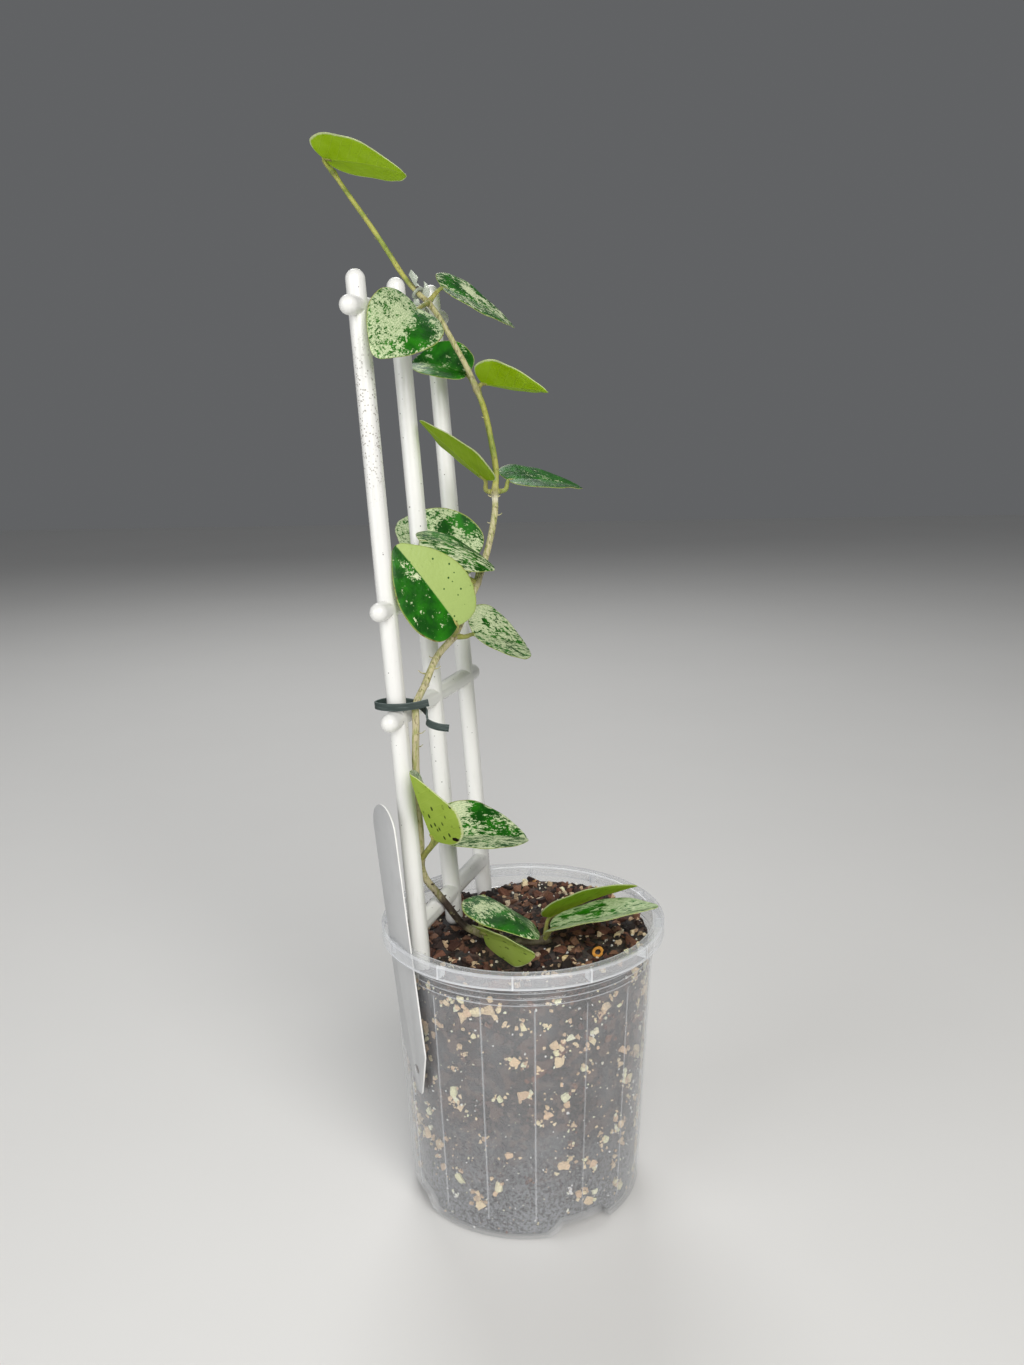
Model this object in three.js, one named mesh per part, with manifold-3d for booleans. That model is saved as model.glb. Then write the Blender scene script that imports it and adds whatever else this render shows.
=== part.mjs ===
// A variegated hoya vine in a clear nursery pot, trained up a white ladder trellis.
// Millimetres, +Z up, -Y to the front. The origin is the centre of the pot's flat underside.
import * as THREE from "three";
import { mergeVertices } from "three/addons/utils/BufferGeometryUtils.js";
import Module from "manifold-3d";

const wasm = await Module();
wasm.setup();

// ---------------------------------------------------------------- driving dimensions, mm
const GAP = 0.3; // clearance wherever one piece touches another
const GAP_WIDE = 0.45; // the same round thin, faceted stems

const POT = {
  segments: 48,
  height: 123.4,
  rimRadius: 60,
  skirtDrop: 5.9,
  skirtThickness: 0.9,
  flangeThickness: 1.1,
  wallFoot: 49.25, // the wall's outer radius at the table
  wallSlope: 0.054, // and how much wider it gets per mm of height
  wallThickness: 0.9,
  floorThickness: 1,
  contactRadius: 46.2, // where the rounded bottom corner starts
  cornerHeight: 4,
  cornerRound: [[1.7, 0.6], [2.8, 1.9]], // the corner's points past the contact radius
  edgeRound: 0.6,
  ringHalf: 0.6,
  ringHeights: [109, 111.6, 114.2],
  ringProud: 0.35,
  ribCount: 16,
  ribFirst: -65.5, // degrees
  ribWidth: 1.2,
  ribProud: 0.35,
  ribLow: 9.5,
  ribHigh: 107.5,
  webCount: 12,
  webFirst: -94.5, // degrees
  webWidth: 0.9,
  webDrop: 4,
  sunk: 0.45, // how far ribs and webs run into the wall
};
const FOOT = {
  azimuths: [-61.4, -160, 118.6, 20], // degrees
  bottomWidth: 31,
  topWidth: 18.5,
  height: 7,
  innerRadius: 34,
  drainRadius: 2.6,
  drainAt: 41,
};
const LABEL = {
  azimuth: -150.5, // degrees
  radius: 57.35, // where it passes the rim
  width: 21,
  thickness: 0.7,
  lean: 3.05, // degrees outwards, along the wall
  tilt: -6.6, // degrees sideways
  above: 58.3, // from the rim up to the rounded top
  below: 64.5, // from the rim down to the foot of the tag
  taper: 19, // length of the narrowing foot
  footWidth: 5,
  holeRadius: 2,
  holeAbove: 10.5,
  slotHeight: 16,
};
const TRELLIS = {
  foot: [-41.4, -28.3, 113], // left pole's axis at the mix
  lean: [-0.068, 0.083, 1], // along the poles
  rungAzimuth: 72.3, // degrees
  spacing: 39.4,
  poleRadius: 3.775,
  poleStarts: [6, 5.8, 6], // where each pole's round shaft starts, up from the mix
  poleTop: 275,
  legLength: 22,
  legTip: 1.5,
  rungRadius: 3.75,
  rungHeights: [261.3, 146.3, 103],
  leftOverhang: 8,
  rightOverhang: 9,
  footRungHeight: 17.5,
  sides: 12,
  capSteps: 3,
};
const VINE = {
  lowRadius: 1.55,
  midRadius: 1.4,
  tipRadius: 0.95,
  nodeSwell: 0.45,
  nodeReach: 3.2,
  steps: 90,
  sides: 6,
};
const PETIOLE = {
  radius: 1.1,
  bladeRadius: 0.7,
  sides: 5,
  steps: 4,
  inBlade: [[0, -0.5], [0.09, -0.35]], // its last points: along the midrib, and off the middle face
};
const BLADE = { thickness: 1 };
const MIX = {
  segments: 24,
  chunks: 60,
  seed: 7,
  smallest: 1.8,
  largest: 4.2,
  rings: [9, 19, 29, 39, 48, 61], // radii of the surface's points; the last is outside the pot
  rough: 1.2,
  blend: 20, // how softly one anchor's height passes into the next
  breadth: [0.55, 0.85], // a lump's width and height over its length
  depth: [0.4, 0.7],
};

// The vine from the lowest leaf pair, half buried in the mix, up to the tip. A letter marks a node.
const VINE_POINTS = [
  ["", 11, -20.4, 121],
  ["low", 8.6, -20, 120.3],
  ["", 2.7, -20, 119.5],
  ["", -4.7, -18.5, 119.9],
  ["", -11, -16, 120.2],
  ["soil", -17.6, -12.6, 120.6],
  ["", -21.5, -10.2, 120.9],
  ["", -25.6, -9.3, 123.3],
  ["", -31.6, -10.2, 132.3],
  ["", -35.5, -12, 138.4],
  ["", -40.1, -15.2, 146.8],
  ["G", -41.6, -18.2, 155.4],
  ["", -41, -18.8, 162],
  ["", -41.8, -18.2, 180.9],
  ["", -42, -19, 197.9],
  ["", -41.7, -20, 206.5],
  ["", -41.3, -20.3, 212.7],
  ["", -41.1, -19, 220.5],
  ["", -37.8, -13, 227.2],
  ["", -32.8, -4, 237.4],
  ["F", -26.4, 1, 244.2],
  ["", -21.9, 8, 252.8],
  ["E", -16.9, 15, 263.7],
  ["", -13.6, 21, 272.4],
  ["", -10.5, 25, 284.4],
  ["", -9.1, 27, 292.5],
  ["D", -9, 28.5, 299.9],
  ["", -8.4, 30.5, 308.8],
  ["", -10.3, 34, 321.1],
  ["", -12.7, 38, 332.5],
  ["C", -15.9, 41, 341.6],
  ["", -19.5, 43, 349.8],
  ["", -24.9, 44.5, 360.1],
  ["", -30.5, 45.5, 370.3],
  ["B", -35.7, 46.5, 377.5],
  ["", -40, 49.5, 381.6],
  ["", -45.5, 53, 388],
  ["", -57.8, 56.5, 407],
  ["", -69.9, 59, 424.2],
  ["A", -74.8, 60, 431.5],
];
const BUD = { points: [[-74.8, 60, 431.5], [-77.2, 60, 434], [-78.9, 60, 437.2]], radius: 0.9, tip: 0.45 };

// Half a leaf's outline: how far along the midrib, and how far out, of the half width.
const LEAF_HALF = [
  [-0.022, 0.2],
  [-0.022, 0.46],
  [0.02, 0.68],
  [0.1, 0.83],
  [0.22, 0.96],
  [0.33, 1],
  [0.48, 0.98],
  [0.6, 0.89],
  [0.757, 0.66],
  [0.88, 0.38],
  [0.947, 0.18],
];
const LOBE_POINTS = 3; // the outline's points beside the petiole, which share the midrib's start

// Each leaf: the vine's node, its base, where the midrib points (azimuth 0 is +Y, 90 is +X,
// elevation up), roll about the midrib, length, width over length, fold and curl in degrees.
const LEAVES = [
  { node: "A", base: [-78.8, 64.3, 437.6], azimuth: 121.2, elevation: -6.4, roll: -22.3, length: 44.1,
    ratio: 0.82, fold: 5.9, curl: 15.3 },
  { node: "B", base: [-29.8, 52, 384], azimuth: 54.3, elevation: -15.9, roll: 33.3, length: 41.4,
    ratio: 0.77, fold: 6.9, curl: 13 },
  { node: "B", base: [-37.5, 8.5, 372.7], azimuth: -166.2, elevation: -17.3, roll: -38.9, length: 39.2,
    ratio: 0.77, fold: 8.8, curl: 32.2 },
  { node: "C", base: [-13.6, 42, 344.5], azimuth: 132.4, elevation: -5.3, roll: -29.8, length: 36.1,
    ratio: 0.74, fold: 20.8, curl: 2 },
  { node: "C", base: [-20.1, 47, 348.2], azimuth: -60.1, elevation: 19.8, roll: -44.1, length: 33.7,
    ratio: 0.7, fold: 27.9, curl: 29.3 },
  { node: "D", base: [-12.6, 29, 305.1], azimuth: -112.3, elevation: 41.7, roll: 1.6, length: 37.5,
    ratio: 0.84, fold: 6, curl: 0.6 },
  { node: "D", base: [-3.3, 30, 304.7], azimuth: 56.2, elevation: 0.2, roll: 17.4, length: 39.6,
    ratio: 0.72, fold: 7.2, curl: 16.2 },
  { node: "E", base: [-17, 26, 273.5], azimuth: -68.2, elevation: 18, roll: -72, length: 41.2,
    ratio: 0.72, fold: 12.7, curl: 10 },
  { node: "E", base: [-39, 2, 282.9], azimuth: 73.8, elevation: -8.6, roll: 24.5, length: 35.1,
    ratio: 0.77, fold: -8.2, curl: 30.6, via: [-33, 5, 273] },
  { node: "F", base: [-24.3, -9, 250.1], azimuth: -114.4, elevation: 55.9, roll: -80.6, length: 40.7,
    ratio: 0.79, fold: 3.7, curl: 14.1 },
  { node: "F", base: [-18.7, 10, 243.4], azimuth: 39.1, elevation: -15.5, roll: 43, length: 39.2,
    ratio: 0.79, fold: 18.2, curl: 6.1, via: [-22.4, 2, 243.6] },
  { node: "G", base: [-35.2, -26, 166.9], azimuth: -161.3, elevation: 53.8, roll: -39.7, length: 41.5,
    ratio: 0.79, fold: 34.8, curl: -4.2 },
  { node: "G", base: [-33, -16, 163.9], azimuth: 60.6, elevation: -5.8, roll: 24.1, length: 42.6,
    ratio: 0.78, fold: 24.8, curl: 12.9 },
  { node: "soil", base: [-16.8, -9.5, 136], azimuth: 144.3, elevation: 1.8, roll: -17.8, length: 40,
    ratio: 0.8, fold: -19, curl: 19 },
  { node: "soil", base: [-16.7, -17.1, 123], azimuth: 137.5, elevation: 4.9, roll: -57.9, length: 32.9,
    ratio: 0.73, fold: -21.3, curl: 7 },
  { node: "low", base: [11, -4, 123.5], azimuth: 96.1, elevation: 30, roll: -29.9, length: 40.8,
    ratio: 0.76, fold: 8.4, curl: 15 },
  { node: "low", base: [11.3, -23.5, 126.7], azimuth: 100.3, elevation: 17.2, roll: -6.4, length: 45.2,
    ratio: 0.74, fold: 12, curl: 2.8 },
];

const LOW_LEAF = 14; // the place in the list of the leaf that hangs down to the mix

// The strap's middle line: the short end, round the pole and the vine, and down to the long end.
const TIE_POINTS = [
  [-36, -21.4, 222],
  [-40.9, -22.8, 221.2],
  [-47, -25, 221.1],
  [-53, -24.4, 221.1],
  [-57, -20.4, 221],
  [-54.8, -15.6, 221],
  [-48.5, -13.9, 221],
  [-41, -15.4, 220],
  [-37.2, -18.6, 217.4],
  [-36.4, -21.4, 214],
  [-33, -22, 212.4],
  [-28.2, -22, 211.6],
];
const TIE = { height: 3, thickness: 0.7, steps: 40 };

// The clip: a ring round the vine on a springy saddle that grips the top rung from above, and a tab.
const CLIP = {
  onVine: [-40, 49.5, 381.6],
  vineLine: [-9.8, 6.5, 10.5],
  ringRadius: 2.4,
  ringThickness: 0.7,
  saddleAt: 60.2, // along the top rung
  saddleWidth: 4,
  saddleThickness: 0.9,
  saddleSweep: 230, // degrees
  bridgeWidth: 2.4,
  tabSize: [3, 1, 6.5],
  tabAt: [-41.9, 49.8, 386.6],
  tabLean: 24, // degrees
};

// The mix's height at hand-picked places on its surface.
const MIX_HEIGHTS = [
  [-40, 38, 117.5],
  [-25, 48.5, 113.5],
  [-14, 53, 113.8],
  [19, 51, 116.5],
  [11, 52, 118.5],
  [39, 38, 119],
  [46, 28, 118.5],
  [50, 0, 117],
  [47, -25, 116],
  [28, -46, 115.5],
  [0, -52, 115],
  [-28, -44, 114],
  [-42, -28, 114],
  [-52, 0, 115],
  [-30, 8, 114.5],
  [0, 22, 116.5],
  [20, 8, 117.5],
  [-5, -17, 117.5],
  [10, -20, 118.5],
  [-17, -12, 118.5],
  [-8, -26, 110.5],
  [-14, -34, 110.5],
  [0, -30, 111],
];

// ---------------------------------------------------------------- finishes
const finish = (color, roughness, extra = {}) =>
  new THREE.MeshStandardMaterial({ color, roughness, metalness: 0, ...extra });
const CLEAR_PLASTIC = finish(0xe6eaec, 0.18, { transparent: true, opacity: 0.35 });
const WHITE_PLASTIC = finish(0xf1f2ef, 0.28);
const TAG_PLASTIC = finish(0xc9ccce, 0.5);
const DARK_STRAP = finish(0x24362c, 0.45);
const CLIP_PLASTIC = finish(0x9aa79c, 0.25, { transparent: true, opacity: 0.6 });
const BARK_MIX = finish(0x4a3028, 0.9);
const VINE_BARK = finish(0x9a9346, 0.6);
const LEAF_GREEN = finish(0x3f7a24, 0.35);

// ---------------------------------------------------------------- general helpers
const vector = (p) => new THREE.Vector3(...p);
const radians = THREE.MathUtils.degToRad;

// A seeded random number between 0 and 1.
function randomFrom(seed) {
  let state = seed;
  return () => {
    state = (state * 1664525 + 1013904223) % 4294967296;
    return state / 4294967296;
  };
}

// A closed geometry as a solid that can be cut and joined.
function solid(geometry) {
  const bare = geometry.clone();
  bare.deleteAttribute("normal");
  bare.deleteAttribute("uv");
  const merged = mergeVertices(bare, 1e-4);
  const made = new wasm.Manifold(
    new wasm.Mesh({
      numProp: 3,
      vertProperties: merged.attributes.position.array,
      triVerts: new Uint32Array(merged.index.array),
    }),
  );
  if (made.volume() <= 0) throw new Error("a piece is inside out");
  return made;
}

// A cut or joined solid as a geometry again.
function geometryOf(made) {
  const shape = made.getMesh();
  const geometry = new THREE.BufferGeometry();
  geometry.setAttribute("position", new THREE.BufferAttribute(shape.vertProperties, 3));
  geometry.setIndex(new THREE.BufferAttribute(shape.triVerts, 1));
  return geometry;
}

const joined = (solids) => wasm.Manifold.union(solids);

// The largest of the separate bodies that a cut can leave.
function mainBody(made) {
  return made.decompose().reduce((a, b) => (a.volume() > b.volume() ? a : b));
}

// A geometry from flat lists of corner positions and triangle corners.
function geometryFrom(points, triangles) {
  const geometry = new THREE.BufferGeometry();
  geometry.setAttribute("position", new THREE.Float32BufferAttribute(points.flatMap((p) => p.toArray()), 3));
  geometry.setIndex(triangles.flat());
  return geometry;
}

// A profile of [radius, height] pairs turned round the Z axis.
function turned(profile, segments = POT.segments) {
  const points = profile.map(([r, z]) => new THREE.Vector2(r, z));
  return new THREE.LatheGeometry(points, segments).rotateX(Math.PI / 2);
}

// A closed tube along a curve whose radius follows radiusAt(distance along, from 0 to 1).
function taperedTube(curve, steps, sides, radiusAt) {
  const frames = curve.computeFrenetFrames(steps, false);
  const points = [];
  const triangles = [];
  for (let i = 0; i <= steps; i++) {
    const centre = curve.getPointAt(i / steps);
    const radius = radiusAt(i / steps);
    for (let j = 0; j < sides; j++) {
      const angle = (2 * Math.PI * j) / sides;
      const corner = centre.clone();
      corner.addScaledVector(frames.normals[i], radius * Math.cos(angle));
      corner.addScaledVector(frames.binormals[i], radius * Math.sin(angle));
      points.push(corner);
    }
  }
  for (let i = 0; i < steps; i++) {
    for (let j = 0; j < sides; j++) {
      const [a, b] = [i * sides + j, i * sides + ((j + 1) % sides)];
      triangles.push([a, b, b + sides], [a, b + sides, a + sides]);
    }
  }
  const last = steps * sides;
  for (let j = 1; j < sides - 1; j++) {
    triangles.push([0, j + 1, j], [last, last + j, last + j + 1]);
  }
  return solid(geometryFrom(points, triangles));
}

// ---------------------------------------------------------------- the clear pot
const wallAt = (z) => POT.wallFoot + POT.wallSlope * z;

// The outer face from the centre of the underside up to the flange's underside.
function outerProfile() {
  const corner = [
    [0, 0],
    [POT.contactRadius, 0],
    ...POT.cornerRound.map(([past, z]) => [POT.contactRadius + past, z]),
    [wallAt(POT.cornerHeight), POT.cornerHeight],
  ];
  const rings = POT.ringHeights.flatMap((z) => [
    [wallAt(z - POT.ringHalf), z - POT.ringHalf],
    [wallAt(z) + POT.ringProud, z],
    [wallAt(z + POT.ringHalf), z + POT.ringHalf],
  ]);
  return [...corner, ...rings];
}

// The inner face, offset into the pot, from the top down to the centre of the floor.
function innerProfile(offset, top) {
  const inside = (z) => wallAt(z) - POT.wallThickness - offset;
  const floor = POT.floorThickness + offset;
  const [[pastContact, rise]] = POT.cornerRound;
  return [
    [inside(top), top],
    [inside(POT.cornerHeight), POT.cornerHeight],
    [POT.contactRadius + pastContact - offset, floor + 2 * rise],
    [POT.contactRadius - offset, floor],
    [0, floor],
  ];
}

// A wedge-shaped recess under the pot's edge, grown by an offset and open outwards and down.
function footRecess(azimuth, offset) {
  const below = 3; // how far it runs down past the table
  const flare = (FOOT.bottomWidth - FOOT.topWidth) / 2 / FOOT.height;
  const sideways = offset * Math.hypot(1, flare);
  const low = FOOT.bottomWidth / 2 + flare * below + sideways;
  const high = FOOT.topWidth / 2 - flare * offset + sideways;
  const outline = new THREE.Shape([
    new THREE.Vector2(-low, -below),
    new THREE.Vector2(low, -below),
    new THREE.Vector2(high, FOOT.height + offset),
    new THREE.Vector2(-high, FOOT.height + offset),
  ]);
  const depth = POT.rimRadius - FOOT.innerRadius + offset;
  const block = new THREE.ExtrudeGeometry(outline, { depth, bevelEnabled: false });
  block.rotateX(Math.PI / 2).rotateZ(Math.PI / 2); // the outline stands upright, the depth runs along +X
  block.translate(FOOT.innerRadius - offset, 0, 0);
  return solid(block.rotateZ(radians(azimuth)));
}

function drainHole(azimuth) {
  const [through, sides] = [6, 12];
  const hole = new THREE.CylinderGeometry(FOOT.drainRadius, FOOT.drainRadius, through, sides);
  hole.rotateX(Math.PI / 2);
  return solid(hole.translate(FOOT.drainAt, 0, FOOT.height).rotateZ(radians(azimuth)));
}

// An upright three-cornered rib that follows the wall's slope.
function wallRib(azimuth) {
  const half = POT.ribWidth / 2;
  const outline = new THREE.Shape([
    new THREE.Vector2(-POT.sunk, -half),
    new THREE.Vector2(POT.ribProud, 0),
    new THREE.Vector2(-POT.sunk, half),
  ]);
  const height = POT.ribHigh - POT.ribLow;
  const rib = new THREE.ExtrudeGeometry(outline, { depth: height, bevelEnabled: false });
  const shear = new THREE.Matrix4().set(1, 0, POT.wallSlope, wallAt(POT.ribLow), 0, 1, 0, 0, 0, 0, 1,
    POT.ribLow, 0, 0, 0, 1);
  return solid(rib.applyMatrix4(shear).rotateZ(radians(azimuth)));
}

// A small plate that ties the skirt to the wall under the flange.
function rimWeb(azimuth) {
  const inner = wallAt(POT.height) - POT.sunk;
  const outer = POT.rimRadius - POT.skirtThickness / 2;
  const web = new THREE.BoxGeometry(outer - inner, POT.webWidth, POT.webDrop);
  const top = POT.height - POT.flangeThickness / 2;
  web.translate((inner + outer) / 2, 0, top - POT.webDrop / 2);
  return solid(web.rotateZ(radians(azimuth)));
}

function makePot(labelSlot) {
  const { height, rimRadius, skirtDrop, skirtThickness, flangeThickness, edgeRound } = POT;
  const inner = wallAt(height) - POT.wallThickness;
  const above = height + 1;
  const flangeUnder = height - flangeThickness;
  const lip = [
    [wallAt(flangeUnder), flangeUnder],
    [rimRadius - skirtThickness, flangeUnder],
    [rimRadius - skirtThickness, height - skirtDrop],
    [rimRadius, height - skirtDrop],
    [rimRadius, height - edgeRound],
    [rimRadius - edgeRound, height],
    [inner + edgeRound, height],
    [inner, height - edgeRound],
  ];
  const filled = solid(turned([...outerProfile(), ...lip, [0, height - edgeRound]]));
  const mouth = [[0, above], [inner + 2 * edgeRound, above], ...lip.slice(-2)];
  const hollow = solid(turned([...mouth, ...innerProfile(0, height - skirtDrop)].reverse()));
  const recessShells = joined(FOOT.azimuths.map((azimuth) => footRecess(azimuth, POT.floorThickness)));
  const recesses = joined(FOOT.azimuths.map((azimuth) => footRecess(azimuth, 0)));
  const drains = joined(FOOT.azimuths.map(drainHole));
  const around = (count, first, make) =>
    Array.from({ length: count }, (_, i) => make(first + (360 / count) * i));
  const nearRecess = (azimuth) =>
    FOOT.azimuths.some((foot) => Math.abs(((azimuth - foot + 540) % 360) - 180) < 1);
  const ribUnlessNotch = (azimuth) => (nearRecess(azimuth) ? null : wallRib(azimuth));
  const ribs = around(POT.ribCount, POT.ribFirst, ribUnlessNotch);
  const webs = around(POT.webCount, POT.webFirst, rimWeb);
  return filled
    .subtract(hollow)
    .add(recessShells.intersect(filled))
    .add(joined([...ribs.filter(Boolean), ...webs]))
    .subtract(recesses.add(drains).add(labelSlot));
}

// ---------------------------------------------------------------- the trellis
const poleLean = vector(TRELLIS.lean).normalize();
const rungLine = new THREE.Vector3(1, 0, 0).applyAxisAngle(
  new THREE.Vector3(0, 0, 1),
  radians(TRELLIS.rungAzimuth),
);

// A point on the trellis: so far along the rungs from the left pole, and so far up the poles.
function onTrellis(along, up) {
  return vector(TRELLIS.foot).addScaledVector(rungLine, along).addScaledVector(poleLean, up);
}

// A round bar with rounded ends whose ends' centres are at the two points.
function bar(from, to, radius, grow = 0) {
  const length = from.distanceTo(to);
  const capsule = new THREE.CapsuleGeometry(radius + grow, length, TRELLIS.capSteps, TRELLIS.sides);
  const turn = new THREE.Quaternion().setFromUnitVectors(
    new THREE.Vector3(0, 1, 0),
    to.clone().sub(from).normalize(),
  );
  const centre = from.clone().add(to).multiplyScalar(0.5);
  return solid(capsule.applyQuaternion(turn).translate(...centre.toArray()));
}

// The pole's end below the mix, narrowed to a blunt point.
function leg(along, grow = 0) {
  const { poleRadius, legTip, legLength, sides } = TRELLIS;
  const [start] = TRELLIS.poleStarts;
  const cone = new THREE.CylinderGeometry(poleRadius + grow, legTip + grow, legLength + start + grow, sides);
  const turn = new THREE.Quaternion().setFromUnitVectors(new THREE.Vector3(0, 1, 0), poleLean);
  const centre = onTrellis(along, (start - legLength - grow) / 2);
  return solid(cone.applyQuaternion(turn).translate(...centre.toArray()));
}

function makeTrellis(grow = 0) {
  const { spacing, poleRadius, poleTop, rungRadius } = TRELLIS;
  const top = poleTop - poleRadius;
  const pieces = [leg(0, grow), leg(2 * spacing, grow)];
  TRELLIS.poleStarts.forEach((low, i) => {
    pieces.push(bar(onTrellis(i * spacing, low), onTrellis(i * spacing, top), poleRadius, grow));
  });
  for (const height of TRELLIS.rungHeights) {
    const left = onTrellis(-TRELLIS.leftOverhang, height);
    const right = onTrellis(2 * spacing + TRELLIS.rightOverhang, height);
    pieces.push(bar(left, right, rungRadius, grow));
  }
  const footRung = [onTrellis(0, TRELLIS.footRungHeight), onTrellis(2 * spacing, TRELLIS.footRungHeight)];
  pieces.push(bar(...footRung, rungRadius, grow));
  return joined(pieces);
}

// ---------------------------------------------------------------- the vine and its leaves
const vineCurve = new THREE.CatmullRomCurve3(VINE_POINTS.map(([, ...p]) => vector(p)), false, "centripetal");
const nodeAt = {};
for (const [name, ...p] of VINE_POINTS) {
  if (name) nodeAt[name] = vector(p);
}

// The vine's radius: woody and thick low down, thin at the tip, swollen at each node.
function vineRadius(along) {
  const { lowRadius, midRadius, tipRadius, nodeSwell, nodeReach } = VINE;
  const here = vineCurve.getPointAt(along);
  const plain = along < 0.5
    ? THREE.MathUtils.lerp(lowRadius, midRadius, 2 * along)
    : THREE.MathUtils.lerp(midRadius, tipRadius, 2 * along - 1);
  const nearest = Math.min(...Object.values(nodeAt).map((node) => node.distanceTo(here)));
  return plain + nodeSwell * Math.max(0, 1 - nearest / nodeReach);
}

function makeVine(grow = 0) {
  const stem = taperedTube(vineCurve, VINE.steps, VINE.sides, (along) => vineRadius(along) + grow);
  const budCurve = new THREE.CatmullRomCurve3(BUD.points.map(vector));
  const budRadius = (along) => THREE.MathUtils.lerp(BUD.radius, BUD.tip, along) + grow;
  return stem.add(taperedTube(budCurve, PETIOLE.steps, VINE.sides, budRadius));
}

// The three directions of a leaf: along the midrib, sideways, and out of the upper face.
function leafAxes({ azimuth, elevation, roll }) {
  const [az, el, turn] = [azimuth, elevation, roll].map(radians);
  const along = new THREE.Vector3(Math.cos(el) * Math.sin(az), Math.cos(el) * Math.cos(az), Math.sin(el));
  const flatSide = along.clone().cross(new THREE.Vector3(0, 0, 1)).normalize();
  const flatUp = flatSide.clone().cross(along);
  const up = flatUp.clone().multiplyScalar(Math.cos(turn)).addScaledVector(flatSide, Math.sin(turn));
  const side = flatSide.clone().multiplyScalar(Math.cos(turn)).addScaledVector(flatUp, -Math.sin(turn));
  return { along, side, up };
}

// A point of the curled, folded blade: u along the midrib, w out from it, lift off the middle face.
function bladePoint(leaf, u, w, lift) {
  const { along, side, up } = leafAxes(leaf);
  const curl = radians(leaf.curl);
  const fold = radians(leaf.fold);
  const angle = curl * u;
  const out = (w * leaf.length * leaf.ratio) / 2;
  const rise = Math.abs(out) * Math.sin(fold) + lift;
  const forward = (leaf.length * Math.sin(angle)) / curl + rise * Math.sin(angle);
  const height = (-leaf.length * (1 - Math.cos(angle))) / curl + rise * Math.cos(angle);
  return vector(leaf.base)
    .addScaledVector(along, forward)
    .addScaledVector(side, out * Math.cos(fold))
    .addScaledVector(up, height);
}

// The closed blade; a spread of more than 0 makes it that much thicker and a little larger.
function makeBlade(leaf, spread = 0) {
  const rim = [
    [0, 0],
    ...LEAF_HALF,
    [1, 0],
    ...LEAF_HALF.map(([u, w]) => [u, -w]).reverse(),
  ];
  const rib = LEAF_HALF.slice(LOBE_POINTS).map(([u]) => [u, 0]);
  const flat = [...rim, ...rib];
  const [count, half] = [flat.length, LEAF_HALF.length];
  const tip = half + 1;
  const faces = [];
  for (const side of [1, -1]) {
    const edge = (i) => (side > 0 ? i : (rim.length - i) % rim.length);
    const ribAt = (i) => (i <= LOBE_POINTS ? 0 : i > half ? tip : rim.length + i - LOBE_POINTS - 1);
    for (let i = 1; i <= half; i++) {
      const corners = [ribAt(i), edge(i), edge(i + 1), ribAt(i + 1)];
      const [a, b, c, d] = side > 0 ? corners : corners.reverse();
      if (a !== b && b !== c && a !== c) faces.push([a, b, c]);
      if (a !== c && c !== d && a !== d) faces.push([a, c, d]);
    }
  }
  const triangles = faces.flatMap(([a, b, c]) => [[a, b, c], [c + count, b + count, a + count]]);
  rim.forEach((_, i) => {
    const next = (i + 1) % rim.length;
    triangles.push([i, i + count, next + count], [i, next + count, next]);
  });
  const lift = BLADE.thickness / 2 + spread;
  const larger = { ...leaf, length: leaf.length + 4 * spread };
  const points = [lift, -lift].flatMap((h) => flat.map(([u, w]) => bladePoint(larger, u, w, h)));
  return solid(geometryFrom(points, triangles));
}

// The petiole from the vine's node into the underside of the blade, cut clear of the vine.
function makePetiole(leaf, wideVine) {
  const ends = PETIOLE.inBlade.map(([along, off]) => bladePoint(leaf, along, 0, off));
  const middle = leaf.via ? [vector(leaf.via)] : [];
  const curve = new THREE.CatmullRomCurve3([nodeAt[leaf.node], ...middle, ...ends], false, "centripetal");
  const steps = PETIOLE.steps * (leaf.via ? 2 : 1);
  const radiusAt = (along) => THREE.MathUtils.lerp(PETIOLE.radius, PETIOLE.bladeRadius, along);
  return taperedTube(curve, steps, PETIOLE.sides, radiusAt).subtract(wideVine);
}

// The blade and its petiole as one body.
const makeLeaf = (leaf, wideVine) => mainBody(makeBlade(leaf).add(makePetiole(leaf, wideVine)));

// ---------------------------------------------------------------- label, tie and clip
function labelPlacement() {
  const azimuth = radians(LABEL.azimuth);
  const outward = new THREE.Vector3(Math.cos(azimuth), Math.sin(azimuth), 0);
  const sideways = new THREE.Vector3(-Math.sin(azimuth), Math.cos(azimuth), 0);
  const up = new THREE.Vector3(0, 0, 1)
    .addScaledVector(outward, Math.tan(radians(LABEL.lean)))
    .addScaledVector(sideways, Math.tan(radians(LABEL.tilt)))
    .normalize();
  const across = sideways.clone().addScaledVector(up, -sideways.dot(up)).normalize();
  const through = across.clone().cross(up);
  const place = new THREE.Matrix4().makeBasis(across, up, through);
  const centre = outward.multiplyScalar(LABEL.radius).add(new THREE.Vector3(0, 0, POT.height));
  return place.setPosition(centre);
}

function makeLabel() {
  const { width, thickness, above, below, taper, footWidth, holeRadius, holeAbove } = LABEL;
  const half = width / 2;
  const outline = new THREE.Shape();
  outline.moveTo(-half, -below + taper);
  outline.lineTo(-footWidth / 2, -below);
  outline.lineTo(footWidth / 2, -below);
  outline.lineTo(half, -below + taper);
  outline.lineTo(half, above - half);
  outline.absarc(0, above - half, half, 0, Math.PI, false);
  outline.closePath();
  const hole = new THREE.Path();
  hole.absarc(0, -below + holeAbove, holeRadius, 0, 2 * Math.PI, true);
  outline.holes.push(hole);
  const tag = new THREE.ExtrudeGeometry(outline, { depth: thickness, bevelEnabled: false, curveSegments: 8 });
  return solid(tag.translate(0, 0, -thickness / 2).applyMatrix4(labelPlacement()));
}

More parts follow.
